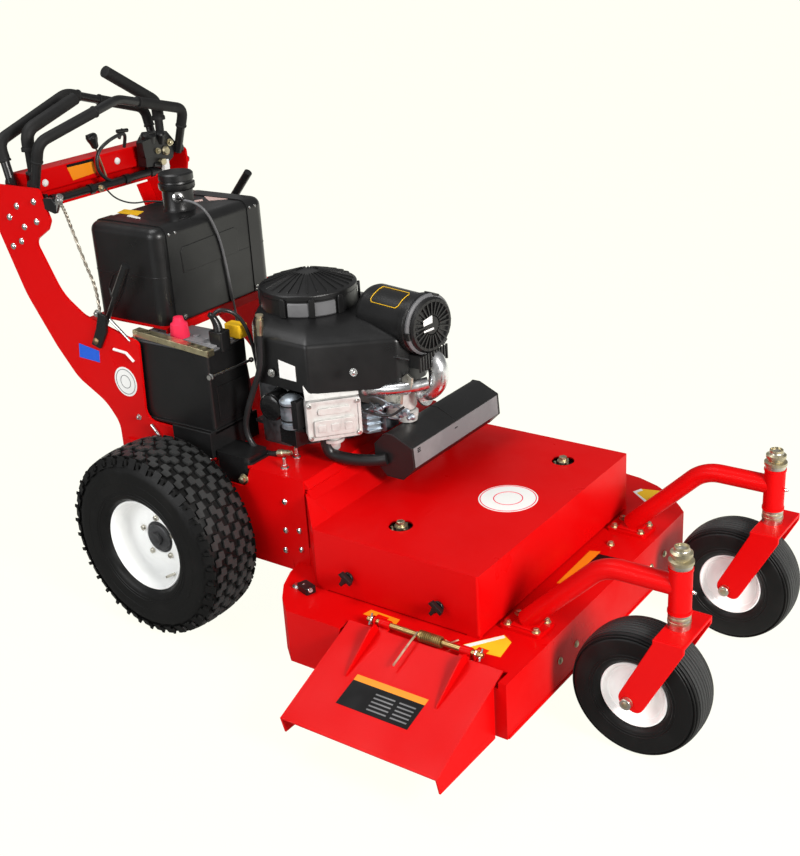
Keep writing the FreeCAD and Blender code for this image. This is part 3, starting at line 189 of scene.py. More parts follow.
MATS = {
    "red_paint": paint_look("red_enamel", (0.60, 0.0015, 0.002)),
    "white_paint": paint_look("white_enamel", (0.90, 0.91, 0.90), 0.3, 0.1),
    "black_paint": satin_black("black_powder_coat", 0.008, 0.34, 500.0, 0.1),
    "black_plastic": satin_black("moulded_black", 0.007, 0.33, 1100.0, 0.12),
    "battery_case": satin_black("battery_grey", 0.10, 0.45, 900.0, 0.15),
    "engine_casting": metal_look("cast_aluminium", (0.62, 0.61, 0.59), 0.5, 380.0, 0.35, metal=0.45),
    "filter_paint": satin_black("filter_black", 0.008, 0.2, 300.0, 0.05),
    "steel": metal_look("zinc_plate", (0.66, 0.63, 0.55), 0.3, 300.0, 0.1),
    "axle_iron": metal_look("dark_iron", (0.13, 0.13, 0.135), 0.55, 260.0, 0.4),
    "tyre": rubber_look("tyre_rubber", 0.005, 0.44, 0.05),
    "blade_steel": metal_look("ground_steel", (0.34, 0.34, 0.35), 0.35, 300.0, 0.2, (1, 14, 1)),
    "grip_foam": rubber_look("grip_rubber", 0.009, 0.6, 0.08),
}
DARK_CAST = metal_look("dark_casting", (0.16, 0.165, 0.17), 0.5, 300.0, 0.35)
BRIGHT = metal_look("bright_plate", (0.80, 0.80, 0.78), 0.2, 300.0, 0.06)
POLISHED = metal_look("polished_cast", (0.78, 0.79, 0.80), 0.24, 300.0, 0.12)
BLUE_CAST = metal_look("machined_cast", (0.42, 0.47, 0.52), 0.45, 380.0, 0.3)
BRASS = metal_look("yellow_zinc", (0.56, 0.50, 0.34), 0.38, 300.0, 0.1)
BRONZE = metal_look("bronzed_steel", (0.42, 0.30, 0.12), 0.38, 300.0, 0.15)
PALE_ZINC = metal_look("pale_zinc", (0.72, 0.64, 0.40), 0.32, 300.0, 0.1)
DULL_STEEL = metal_look("dull_steel", (0.42, 0.38, 0.32), 0.4, 300.0, 0.2)
WORN_BRONZE = metal_look("worn_bronze", (0.33, 0.22, 0.12), 0.4, 300.0, 0.15)
PALE_WIRE = metal_look("pale_wire", (0.75, 0.68, 0.50), 0.35, 300.0, 0.1)
# Grey for labels and the air cleaner lip, and a painted highlight on the fan ring.
GREY_PLASTIC_AND_HIGHLIGHT = satin_black("grey_plastic_and_highlight", 0.12, 0.4, 900.0, 0.1)
SOFT_BLACK = satin_black("hose_black", 0.012, 0.4, 700.0, 0.1)
CABLE = satin_black("cable_grey", 0.11, 0.4, 700.0, 0.05)
# Grey of the muffler's front face, a painted highlight.
LIT_FACE_GREY = satin_black("painted_highlight_grey", 0.16, 0.5, 500.0, 0.2)
BLACK_PRINT = satin_black("black_print", 0.006, 0.4, 900.0, 0.03, 0.08)
TOP_GREY = satin_black("battery_lid", 0.2, 0.45, 900.0, 0.1)
PINK_CAP = paint_look("red_vinyl", (0.80, 0.03, 0.08), 0.4, 0.0)
YELLOW = paint_look("yellow_print", (0.85, 0.50, 0.02), 0.35, 0.1)
ORANGE = paint_look("orange_print", (0.86, 0.26, 0.01), 0.35, 0.1)
WHITE_PRINT = paint_look("white_print", (0.82, 0.82, 0.80), 0.4, 0.1)
PINK_PRINT = paint_look("pink_print", (0.75, 0.52, 0.47), 0.4, 0.1)
BLUE_PRINT = paint_look("blue_print", (0.02, 0.11, 0.62), 0.35, 0.2)


def dress(node, mat):
    """Gives a model node its material."""
    frame["nodes"][node].data.materials.clear()
    frame["nodes"][node].data.materials.append(mat)


for item in frame["record"]["subparts"]:
    dress(item["node"], MATS[item["material_slot"]])
dress("crankcase", DARK_CAST)


# ---------------------------------------------------------------- mesh tools

class Form:
    """A mesh under construction, in the machine's millimetres. Each shape returns the form, to be chained."""

    def __init__(self):
        self.bm = bmesh.new()

    def row(self, points):
        """New corners at these places, in order."""
        return [self.bm.verts.new(point) for point in points]

    def face(self, verts):
        """Adds a face, unless these vertices can't carry one."""
        try:
            self.bm.faces.new(verts)
        except ValueError:
            pass

    def skin(self, rows, around=True):
        """Faces between rows of vertices; a row of one vertex is a pole."""
        for low, high in zip(rows, rows[1:]):
            count = max(len(low), len(high))
            for step in range(count if around else count - 1):
                after = (step + 1) % count
                if len(low) == 1 < count:
                    self.face((low[0], high[after], high[step]))
                elif len(high) == 1 < count:
                    self.face((low[step], low[after], high[0]))
                elif count > 1:
                    self.face((low[step], low[after], high[after], high[step]))
        return self

    def solid(self, low, high):
        """Closes two rows into a body with flat ends."""
        self.face(low[::-1])
        self.face(high)
        return self.skin([low, high])

    def lathe(self, profile, centre, axis, steps=64, closed=False):
        """Turns (along, radius) points about an axis; a radius of 0 closes on the axis."""
        axis = Vector(axis).normalized()
        spin = axis.to_track_quat("Z", "Y").to_matrix()
        rows = []
        for along, radius in profile:
            middle = Vector(centre) + axis * along
            turns = [2 * math.pi * step / steps for step in range(steps if radius > 0 else 1)]
            rows.append(self.row(middle + spin @ Vector((radius * math.cos(turn), radius * math.sin(turn), 0))
                                 for turn in turns))
        return self.skin(rows + rows[:1] if closed else rows)

    def disc(self, centre, axis, radius, high, steps=20):
        """A plain round boss or bush."""
        return self.lathe([(0, 0), (0, radius), (high, radius), (high, 0)], centre, axis, steps)

    def rod(self, start, end, radius, steps=16):
        """A round bar with slightly chamfered ends."""
        start, end = Vector(start), Vector(end)
        length = (end - start).length
        rim = min(radius, length) * 0.12
        profile = [(0, 0), (0, radius - rim), (rim, radius), (length - rim, radius), (length, radius - rim),
                   (length, 0)]
        return self.lathe(profile, start, end - start, steps)

    def prism(self, outline, origin, right, up, depth):
        """A flat outline extruded by depth along right x up."""
        origin, right, up = Vector(origin), Vector(right).normalized(), Vector(up).normalized()
        low = self.row(origin + right * x + up * y for x, y in outline)
        return self.solid(low, self.row(v.co + right.cross(up) * depth for v in low))

    def block(self, low, high):
        """An upright box between two corners."""
        wide, deep, tall = (b - a for a, b in zip(low, high))
        return self.prism([(0, 0), (wide, 0), (wide, deep), (0, deep)], low, AHEAD, LEFT, tall)

    def patch(self, corners, out, thick=0.6):
        """A thin flat label between its corners, standing off the surface by its thickness."""
        out = Vector(out).normalized() * thick
        return self.solid(self.row(corners), self.row(Vector(corner) + out for corner in corners))

    def sweep(self, points, radius, steps=12, caps=True):
        """A round tube along a line of points, of one radius or one for each point."""
        points = [Vector(p) for p in points]
        radii = radius if isinstance(radius, list) else [radius] * len(points)
        rows = []
        side = None
        for index, point in enumerate(points):
            along = (points[min(index + 1, len(points) - 1)] - points[max(index - 1, 0)]).normalized()
            if side is None:
                side = along.orthogonal().normalized()
            side = (side - along * side.dot(along)).normalized()
            other = along.cross(side)
            turns = [2 * math.pi * step / steps for step in range(steps)]
            rows.append(self.row(point + (side * math.cos(turn) + other * math.sin(turn)) * radii[index]
                                 for turn in turns))
        self.skin(rows)
        if caps:
            self.face(rows[0][::-1])
            self.face(rows[-1])
        return self

    def hexagon(self, place, out, across=13.0, high=6.0, washer=True):
        """A hexagon bolt head or nut, on its washer if it has one."""
        place, out = Vector(place), Vector(out).normalized()
        right = out.orthogonal().normalized()
        base = 1.6 if washer else 0.0
        if washer:
            self.lathe([(0, 0), (0, across * 0.82), (base, across * 0.8), (base, 0)], place, out, 20)
        radius = across / math.sqrt(3)
        corners = [polar(radius, 60 * step) for step in range(6)]
        top = base + high
        self.prism(corners, place + out * base, right, out.cross(right), high)
        crown = [(top, 0), (top, radius * 0.8), (top + 1.0, radius * 0.62), (top + 1.0, 0)]
        return self.lathe(crown, place, out, 18)

    def dome_bolt(self, place, out, radius=7.0, high=4.0):
        """A round-headed carriage bolt."""
        profile = [(0, 0), (0, radius), (high * 0.45, radius * 0.92), (high * 0.85, radius * 0.55), (high, 0)]
        return self.lathe(profile, place, out, 18)

    def each(self, shape, places, *values):
        """The same shape at several places."""
        for place in places:
            getattr(self, shape)(place, *values)
        return self

    def made(self, name, slot, mat=None, body="chassis", replaces=(), bevel=0.0, angle=35.0):
        """Turns the form into an object that rides on a body, in its slot's material or one of its own."""
        bmesh.ops.remove_doubles(self.bm, verts=self.bm.verts, dist=0.001)
        bmesh.ops.recalc_face_normals(self.bm, faces=self.bm.faces)
        for vert in self.bm.verts:
            vert.co = at(*vert.co)
        obj = mesh_object(name, self.bm, mat or MATS[slot])
        obj.data.polygons.foreach_set("use_smooth", [True] * len(obj.data.polygons))
        obj.data.set_sharp_from_angle(angle=math.radians(angle))
        if bevel > 0:
            rounding = obj.modifiers.new("edge", "BEVEL")
            rounding.width = bevel / 1000
            rounding.segments = 2
            rounding.limit_method = "ANGLE"
            rounding.angle_limit = math.radians(40)
            rounding.harden_normals = True
        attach(obj, body)
        if replaces:
            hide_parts(*replaces)


def mesh_object(name, bm, mat):
    """An object of the scene made from a mesh under construction."""
    mesh = bpy.data.meshes.new(name)
    bm.to_mesh(mesh)
    bm.free()
    mesh.materials.append(mat)
    return in_scene(name, mesh)


def in_scene(name, data):
    """A new object of the scene that shows this data."""
    obj = bpy.data.objects.new(name, data)
    scene.collection.objects.link(obj)
    return obj


def smooth_line(points, count=8):
    """Catmull-Rom points through the given ones."""
    points = [Vector(p) for p in points]
    ends = [points[0] * 2 - points[1]] + points + [points[-1] * 2 - points[-2]]
    line = []
    for index in range(1, len(ends) - 2):
        a, b, c, d = ends[index - 1:index + 3]
        for step in range(count):
            t = step / count
            line.append(0.5 * (2 * b + (c - a) * t + (2 * a - 5 * b + 4 * c - d) * t * t
                               + (3 * b - a - 3 * c + d) * t ** 3))
    line.append(points[-1])
    return line


def arc(cx, cy, radius, start, stop, steps):
    """Points (x, y) on an arc given in degrees."""
    turns = [start + (stop - start) * step / steps for step in range(steps + 1)]
    return [(cx + x, cy + y) for x, y in (polar(radius, turn) for turn in turns)]


def rounded(half_wide, half_high, radius, steps=5):
    """Corner points of a rectangle about the origin, with round corners."""
    points = []
    for cx, cy, start in ((1, 1, 0), (-1, 1, 90), (-1, -1, 180), (1, -1, 270)):
        points += arc(cx * (half_wide - radius), cy * (half_high - radius), radius, start, start + 90, steps)
    return points


def bent(points, steps=6):
    """A flat line of (x, y, radius) corners with its corners rounded."""
    line = [Vector(points[0][:2])]
    for before, corner, after in zip(points, points[1:], points[2:]):
        here, radius = Vector(corner[:2]), corner[2]
        back, ahead = ((Vector(other[:2]) - here).normalized() for other in (before, after))
        reach = radius / math.tan(math.acos(max(-1.0, min(1.0, back.dot(ahead)))) / 2)
        a, b = here + back * reach, here + ahead * reach
        for step in range(steps + 1):
            t = step / steps
            line.append(a * (1 - t) ** 2 + here * (2 * t * (1 - t)) + b * t * t)
    line.append(Vector(points[-1][:2]))
    return line


def tube(name, route, across, mat):
    """A hose or cable on one smooth spline."""
    data = bpy.data.curves.new(name, "CURVE")
    data.dimensions = "3D"
    line = data.splines.new("NURBS")
    line.points.add(len(route) - 1)
    for point, place in zip(line.points, route):
        point.co = (*at(*place), 1.0)
    line.order_u = 3
    line.use_endpoint_u = True
    line.resolution_u = 8
    data.bevel_depth = across / 2000
    data.bevel_resolution = 4
    data.use_fill_caps = True
    data.materials.append(mat)
    obj = in_scene(name, data)
    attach(obj, "chassis")


# ---------------------------------------------------------------- wheels

TIRE_R, TIRE_HALF, BEAD_R, TRACK = 228.6, 80.0, 112.0, 369.0
CASTER_R, CASTER_HALF, CASTER_BEAD, CASTER_Y = 136.0, 47.0, 70.0, 241.3
CASTER_AXLE_X = 1152.0
TREAD_DEPTH, PITCHES = 8.0, 35
# Each wheel's (x, radius) gives its tyre a painted highlight on the tread.
TURF_RUBBER = rubber_look("turf_rubber", 0.004, 0.44, 0.05, (0.0, TIRE_R))
CASTER_RUBBER = rubber_look("caster_rubber", 0.004, 0.44, 0.05, (CASTER_AXLE_X, CASTER_R))


def tire_profile(half, bead, radius, drop):
    """Rows of (arc length, y, r, outward normal) along a tyre's outside, from its middle to the bead."""
    points = []
    for step in range(13):
        y = half * 0.93 * step / 12
        points.append((y, radius - 0.4 - drop * (y / (half * 0.93)) ** 2.6))
    y0, r0 = points[-1]
    low = bead + (radius - bead) * 0.45
    for step in range(1, 9):
        turn = math.radians(90 * step / 8)
        y = y0 + (half - 0.5 - y0) * math.sin(turn)
        points.append((y, r0 - (r0 - low) * (1 - math.cos(turn)) ** 0.8))
    points += [(half - 1.2, bead + 22), (half * 0.97, bead + 12)]
    points += [(half * 0.9, bead + 5), (half * 0.8, bead + 1)]
    rows = []
    travelled = 0.0
    for index, (y, r) in enumerate(points):
        before, after = points[max(index - 1, 0)], points[min(index + 1, len(points) - 1)]
        if index:
            travelled += math.hypot(y - before[0], r - before[1])
        dy, dr = after[0] - before[0], after[1] - before[1]
        size = math.hypot(dy, dr)
        rows.append((travelled, y, r, -dr / size, dy / size))
    return rows


def place_on(rows, w, depth):
    """The (y, r) at arc length |w| along the profile, sunk by depth."""
    for low, high in zip(rows, rows[1:]):
        if high[0] >= abs(w):
            t = (abs(w) - low[0]) / (high[0] - low[0])
            y, r, ny, nr = (low[k] + (high[k] - low[k]) * t for k in range(1, 5))
            break
    return math.copysign(y - ny * depth, w), r - nr * depth


def carcass(side, half, bead, rings, rib, centre, steps):
    """A tyre turned from one side's (y, r) points; its rings are ribs of (inset, half width, height)."""
    side = side + [(half * 0.78, bead), (half * 0.72, bead - 0.5)]
    form = Form().lathe([(-y, r) for y, r in reversed(side)] + side[1:], centre, LEFT, steps, True)
    inset, wide, high = rib
    for ring in rings:
        for edge in (-1, 1):
            y = edge * (half - inset)
            profile = [(y, bead + ring - wide), (y + edge * high, bead + ring), (y, bead + ring + wide)]
            form.lathe(profile, centre, LEFT, 96, True)
    return form


def turf_tire(name, sign):
    """Wide turf tyre: carcass with interlocking blocks and short shoulder bars."""
    rows = tire_profile(TIRE_HALF, BEAD_R, TIRE_R, 8.0)
    skin = []
    for w, y, r, ny, nr in rows:
        sunk = TREAD_DEPTH if w < 92 else TREAD_DEPTH * max(0.0, 1 - (w - 92) / 12)
        skin.append((y - ny * sunk, r - nr * sunk))
    centre = Vector((0, sign * TRACK, TIRE_R))
    form = carcass(skin, TIRE_HALF, BEAD_R, (20, 27, 52), (1.4, 1.4, 1.2), centre, 120)
    lug = [(0.03, -13.5), (0.50, -15.0), (0.55, -2.5), (0.91, -1.0), (0.88, 13.5), (0.41, 15.0), (0.36, 2.5),
           (0.0, 1.0)]
    bar = [(0.04, -14.0), (0.60, -14.0), (0.60, 16.0), (0.04, 16.0)]
    stub = [(0.70, -10.0), (0.92, -10.0), (0.92, 6.0), (0.70, 6.0)]
    bands = [(-50.0, 0.0, lug, 1), (-17.0, 0.5, lug, -1), (17.0, 0.0, lug, 1), (50.0, 0.5, lug, -1),
             (-82.0, 0.25, bar, 1), (82.0, 0.75, bar, 1), (-80.0, 0.25, stub, 1), (80.0, 0.75, stub, 1)]
    for pitch in range(PITCHES):
        for w, shift, outline, flip in bands:
            foot, top = [], []
            mid = 2 * math.pi * (pitch + shift + 0.45) / PITCHES
            for u, dw in outline:
                angle = 2 * math.pi * (pitch + shift + u) / PITCHES
                for store, sunk, shrink in ((foot, TREAD_DEPTH + 0.6, 1.0), (top, 0.0, 0.93)):
                    y, r = place_on(rows, w + dw * flip * shrink, sunk)
                    turn = mid + (angle - mid) * shrink
                    spot = centre + Vector((r * math.cos(turn), y, r * math.sin(turn)))
                    store.append(form.bm.verts.new(spot))
            form.face(top)
            form.skin([foot, top])
    form.made("turf_tire_" + name, "tyre", TURF_RUBBER, "rear_wheel_" + name, ("rear_tire_" + name,))


def ribbed_tire(name, sign):
    """Caster tyre with grooves running round its tread."""
    rows = tire_profile(CASTER_HALF, CASTER_BEAD, CASTER_R, 7.0)
    side = []
    w = 0.0
    while w < rows[-1][0]:
        near = min(abs(w - groove) for groove in (4.0, 13.0, 22.0, 31.0, 40.0, 48.0))
        side.append(place_on(rows, w, 3.2 if near < 0.9 else (0.7 if near < 1.7 else 0.0)))
        w += 0.8 if w < 50 else 4.0
    centre = (CASTER_AXLE_X, sign * CASTER_Y, CASTER_R)
    carcass(side, CASTER_HALF, CASTER_BEAD, (14, 20), (1.2, 1.0, 0.9), centre, 96).made(
        "ribbed_tire_" + name, "tyre", CASTER_RUBBER, "caster_wheel_" + name,
        ("caster_tire_" + name,), angle=50)


def dished_rim(name, sign):
    """White pressed rim with a rolled lip, stepped bead seat and deep dish, and its dark hub."""
    body = "rear_wheel_" + name
    centre, axis = Vector((0, sign * TRACK, TIRE_R)), LEFT * sign
    barrel = BEAD_R - 0.3
    outer = [(63.6, barrel), (65.0, barrel - 1.5), (64.6, barrel - 4), (60, barrel - 5.5), (52, barrel - 7),
             (46, barrel - 12), (40, barrel - 13.5), (30, barrel - 15), (20, barrel - 19),
             (14.6, barrel - 27), (13.6, barrel - 38), (13.8, 62), (15.5, 56), (15.5, 40), (8, 39),
             (8, 42), (9, 60), (8.6, barrel - 36), (9.0, barrel - 24), (-30, barrel - 14),
             (-57, barrel - 7), (-59, barrel - 3), (-57.6, barrel)]
    Form().lathe(outer, centre, axis, 96, True).made("dished_rim_" + name, "white_paint", None, body,
                                                     ("rear_rim_" + name,), angle=40)
    hub = [(-67.6, 15.2), (-67.6, 41.5), (11.6, 41.5), (13, 39.5), (13, 34), (20.4, 33), (21.6, 31),
           (21.6, 15.2)]
    Form().lathe(hub, centre, axis, 48, True).made("hub_" + name, "axle_iron", None, body, bevel=0.6)
    nuts = Form()
    for index in range(5):
        x, z = polar(50, 72 * index + 20)
        nuts.hexagon((x, centre.y + sign * 15.4, TIRE_R + z), axis, 12.0, 6.0, False)
    x, z = polar(92, -62)
    nuts.rod((x, centre.y + sign * 24, TIRE_R + z), (x * 0.96, centre.y + sign * 50, TIRE_R + z * 0.96),
             3.2, 12)
    nuts.made("wheel_nuts_" + name, "steel", None, body)


def caster_rim(name, sign):
    """White caster rim: rolled lip, ringed cone and bearing hub."""
    barrel = CASTER_BEAD - 0.3
    half = [(0, barrel - 3), (34, barrel), (38.6, barrel + 0.2), (39.6, barrel - 2.2), (38, barrel - 4.5),
            (31, barrel - 7.5), (29, barrel - 10), (29.4, barrel - 13), (26, barrel - 18), (24.4, 42),
            (25.6, 38), (24.6, 34), (24.0, 30), (28, 26), (30, 23), (44, 21), (58.4, 19.5), (58.7, 17),
            (58.7, 8.3)]
    centre = (CASTER_AXLE_X, sign * CASTER_Y, CASTER_R)
    (Form()
     .lathe(half + [(-y, r) for y, r in reversed(half)], centre, LEFT, 72, True)
     .made("caster_rim_" + name, "white_paint", None, "caster_wheel_" + name, ("caster_rim_" + name,),
           angle=40))


for name, sign in SIDES:
    turf_tire(name, sign)
    dished_rim(name, sign)
    ribbed_tire(name, sign)
    caster_rim(name, sign)


# ---------------------------------------------------------------- engine

CRANK = Vector((190, 0, 0))
HEAD_LEVEL, COVER_REACH, FAN_LEVEL = 514.0, 238.0, 750.0


def across(side, degrees):
    """Direction across a level axis, turned from its side towards the top."""
    y, z = polar(1, degrees)
    return side * y + UP * z


def head_out(sign):
    """Outward direction of a cylinder head."""
    return Vector((*polar(1, 42 * sign), 0))


def valve_cover(name, sign):
    """A cylinder head's outside: rim, plinth, plain blocks and bolts of its cover, and the hood above it."""
    out = head_out(sign)
    right = Vector((-out.y, out.x, 0))

    def spot(reach, side, up):
        """Place that lies out from the crank, to one side and up."""
        return CRANK + out * reach + right * side + UP * up

    rim = Form()
    rows = []
    for inset, corner, reach in ((0, 8, -2), (0, 8, 3.2), (7, 6, 3.2), (7, 6, 0.2)):
        outline = rounded(61.0 - inset, 46.0 - inset, corner)
        rows.append(rim.row(spot(COVER_REACH + reach, x, HEAD_LEVEL + y) for x, y in outline))
    rim.skin(rows).made("cover_rim_" + name, "engine_casting", bevel=0.8)
    face = COVER_REACH - 1
    plinth = Form()
    plinth.prism(rounded(46, 19, 4), spot(face, 0, HEAD_LEVEL - 17), right, UP, 8.5)
    plinth.prism(rounded(36, 7.5, 5), spot(face, 0, HEAD_LEVEL + 21), right, UP, 6.0)
    for side in (-30, 0, 30):
        plinth.prism(rounded(9, 9, 3), spot(face + 8, side, HEAD_LEVEL - 17), right, UP, 2.4)
    plinth.made("cover_plinth_" + name, "engine_casting", bevel=1.6)
    corners = [spot(COVER_REACH + 3, x, HEAD_LEVEL + y) for y in (38, -38) for x in (-54, 54)]
    Form().each("hexagon", corners, out, 9.0, 5.0, False).made("cover_bolts_" + name, "steel", BRIGHT)
    slope = out + UP * 0.6
    edge = [spot(226, -60, 559), spot(226, 60, 559), spot(196, 60, 606), spot(196, -60, 598)]
    hood = Form().patch(edge, slope, 4.0).prism(rounded(60, 4, 2), spot(204, 0, 553), right, UP, 26.0)
    for side in (-34, 4, 40):
        hood.lathe([(0, 0), (0, 9), (4, 8), (6, 5), (6, 0)], spot(214, side, 576), slope, 20)
    hood.made("head_hood_" + name, "engine_casting", bevel=0.8)
    Form().hexagon(spot(206, 30, 590), out + UP * 0.3, 12.0, 9.0).made("hood_bolt_" + name, "steel", BRIGHT)


def crankcase_castings():
    """Oil pan flange with its bosses, ribs, the block between the cylinders, and the exhaust ports."""
    outline = [(-104, -118), (62, -134), (120, -64), (120, 64), (62, 134), (-104, 118)]
    flange = Form().prism(outline, (196, 0, 438), AHEAD, LEFT, 8.0)
    for step in range(12):
        turn = math.radians(-118 + 236 * step / 11)
        flange.disc((196 + 112 * math.cos(turn), 118 * math.sin(turn), 446), UP, 7, 7, 16)
    for level in (470, 486, 502, 518):
        flange.prism([(296, -16), (318, -12), (318, 12), (296, 16)], (0, 0, level), AHEAD, LEFT, 4.0)
    flange.made("pan_flange", "engine_casting", DARK_CAST, bevel=0.6)
    outline = [(300, -34), (366, -42), (408, -24), (408, 24), (366, 42), (300, 34)]
    block = Form().prism(outline, (0, 0, 440), AHEAD, LEFT, 46.0)
    ear, fin = [(344, 60), (384, 66), (404, 40), (372, 30)], [(352, 66), (392, 70), (410, 40), (392, 38)]
    for outline, level, high in [(ear, 444, 62.0)] + [(fin, level, 3.0) for level in (452, 466, 480, 494)]:
        for sign in (-1, 1):
            block.prism([(x, y * sign) for x, y in outline], (0, 0, level), AHEAD, LEFT, high)
    block.made("manifold_block", "engine_casting", BLUE_CAST, bevel=1.2)
    port = Form()
    for sign in (-1, 1):
        out = head_out(sign)
        start = CRANK + out * 205 + UP * 462
        line = smooth_line([start, start + UP * -14, start + UP * -30 - out * 6], 5)
        port.sweep(line, [17] * 5 + [15] * 6, 20)
        port.disc(start + UP * -6, -UP, 24, 7, 24)
    port.made("exhaust_ports", "engine_casting")


def intake():
    """Polished intake pipe under the shroud, elbow below the air cleaner and the throttle linkage."""
    (Form()
     .sweep(smooth_line([(392, -66, 559), (420, -72, 563), (462, -66, 569), (500, -48, 574), (528, -22, 580)],
                        8), [13.5] * 33, 24)
     .lathe([(0, 0), (0, 17), (6, 18), (10, 15), (10, 0)], (388, -65, 558), (1, -0.15, 0.1), 24)
     .made("intake_pipe", "engine_casting", POLISHED))
    line = smooth_line([(505, 14, 628), (524, 14, 618), (534, 12, 596), (530, 10, 568), (514, 8, 548),
                        (492, 6, 538)], 7)
    (Form()
     .sweep(line, [25.0 - 0.18 * index for index in range(len(line))], 28)
     .disc((498, 8, 541), (-1, 0, -0.35), 30, 6, 28)
     .made("intake_elbow", "engine_casting", POLISHED))
    (Form()
     .prism([(0, 0), (24, -4), (42, 10), (40, 34), (22, 46), (4, 38), (10, 22), (22, 26), (28, 18), (18, 10)],
            (470, -46, 552), (0.86, -0.2, 0.3), (0.1, 0.1, 1), 7.0)
     .prism(rounded(22, 15, 4), (452, -44, 540), AHEAD, (0, 0.2, 1), 10.0)
     .made("linkage_bracket", "steel", bevel=0.7))
    parts = Form()
    spread = random.Random(7)
    for index in range(9):
        x = 396 + 13.5 * index
        y = -52 + spread.uniform(-7, 8)
        z = 514 + spread.uniform(-9, 12)
        axis = Vector((spread.uniform(-0.6, 0.9), -1, spread.uniform(-0.4, 0.5)))
        parts.lathe([(0, 0), (0, 8), (5, 8.6), (8, 5.5), (15, 5), (15, 0)], (x, y, z), axis, 16)
    for y, z, bend in ((-66, 536, 8), (-60, 522, -6), (-72, 506, 10)):
        spots = [(392, y, z), (420, y - 6, z + bend), (452, y + 2, z - bend * 0.6), (486, y - 4, z)]
        parts.sweep(smooth_line(spots, 6), 2.2, 8)
    parts.made("throttle_linkage", "steel", BLUE_CAST, angle=50)
    (Form()
     .sweep(smooth_line([(372, -98, 540), (398, -104, 526), (430, -92, 512), (468, -84, 514),
                         (498, -76, 536)], 7), 3.0, 10)
     .made("throttle_wire", "black_plastic", SOFT_BLACK))
    (Form()
     .lathe([(0, 0), (0, 22), (18, 25), (22, 25), (26, 20), (26, 0)], (452, 0, 470), UP, 32)
     .lathe([(0, 0), (0, 7), (8, 8), (8, 0)], (452, 0, 462), UP, 16)
     .made("float_bowl", "engine_casting"))


def shroud_housing():
    """Blower housing: upright walls, a shoulder that rises to the fan ring, and the ring itself."""
    corners = [(385, -103, 14), (474, -58, 22), (486, -30, 10), (486, 30, 10), (474, 58, 22), (385, 103, 14),
               (322, 184, 12), (170, 176, 40), (98, 104, 50), (40, 0, 100), (98, -104, 50), (170, -176, 40),
               (322, -184, 12), (385, -103, 14)]
    form = Form()
    rows = []
    for share, level in ((1.0, 572), (1.0, 676), (0.992, 682), (0.975, 686), (0.5, 703), (0.08, 711),
                         (0.0, 712)):
        spots = []
        for corner in bent(corners)[1:-1]:
            out = corner - CRANK.xy
            near = out.normalized() * 117
            spots.append(CRANK.xy + (out * share if share > 0.9 else near.lerp(out, share)))
        rows.append(form.row((spot.x, spot.y, level) for spot in spots))
    form.skin(rows)
    form.face(rows[0][::-1])
    form.face(rows[-1])
    form.lathe([(708, 0), (708, 112), (748, 112), (750, 110), (750, 0)], CRANK, UP, 96)
    form.prism([(470, -30), (530, -30), (530, 40), (470, 40)], (0, 0, 611), AHEAD, LEFT, 30.0)
    form.made("shroud_housing", "black_plastic", replaces=("shroud",), angle=38)


def shroud_details():
    """A pale grey arc on the black fan ring as a painted highlight, and clips, bolts and blank labels of the
    blower housing.
    """
    # Painted highlight: a grey arc on the fan ring's front right, where the black plastic glints.
    band = Form()
    rows = []
    for reach, level in ((112, 712), (115, 715), (115, 742), (112, 745)):
        rows.append(band.row((x, y, level) for x, y in arc(190, 0, reach, -76, -20, 18)))
    band.skin(rows, False).made("fan_ring_highlight", "black_plastic", GREY_PLASTIC_AND_HIGHLIGHT, angle=40)
    clips = Form()
    for angle in (-152, -82, -48, -14, 40, 110, 168):
        out = Vector((*polar(1, angle), 0))
        place = CRANK + UP * (FAN_LEVEL - 4) + out * 113
        clips.prism([(-7, -34), (7, -34), (7, 4), (4, 9), (-4, 9), (-7, 4)], place, UP.cross(out), UP, 6.0)
    clips.made("ring_clips", "black_plastic", bevel=1.0)
    (Form()
     .sweep([(258, -122, 643), (318, -60, 643.5), (430, -60, 643.5), (508, -60, 643)], 2.2, 8)
     .made("shroud_bead", "black_plastic"))
    stripes = Form()
    for x in (268, 285, 302, 319):
        stripes.patch([(x - 6, -100, 0), (x - 1, -100, 0), (x + 18, -136, 0), (x + 13, -136, 0)], UP, 0.5)
    for vert in stripes.bm.verts:
        vert.co.z += 697.5 - (vert.co - Vector((285, -105, 0))).length * 0.12
    stripes.made("shroud_stripes", "black_plastic", PINK_PRINT)
    (Form()
     .patch([(240, -183.2, 598), (287, -183.2, 596), (287, -183.2, 632), (240, -183.2, 640)], RIGHT)
     .made("engine_label", "black_plastic", WHITE_PRINT))
    (Form()
     .hexagon((217, -183, 605), RIGHT, 12.0, 5.0)
     .hexagon((429, -157, 634), (0.3, -1, 0.2), 11.0, 5.0)
     .hexagon((217, 183, 605), LEFT, 12.0, 5.0)
     .each("hexagon", [(348, -52, 668), (348, 52, 668)], (0.1, 0, 1), 12.0, 5.0)
     .made("shroud_bolts", "steel", BRIGHT))


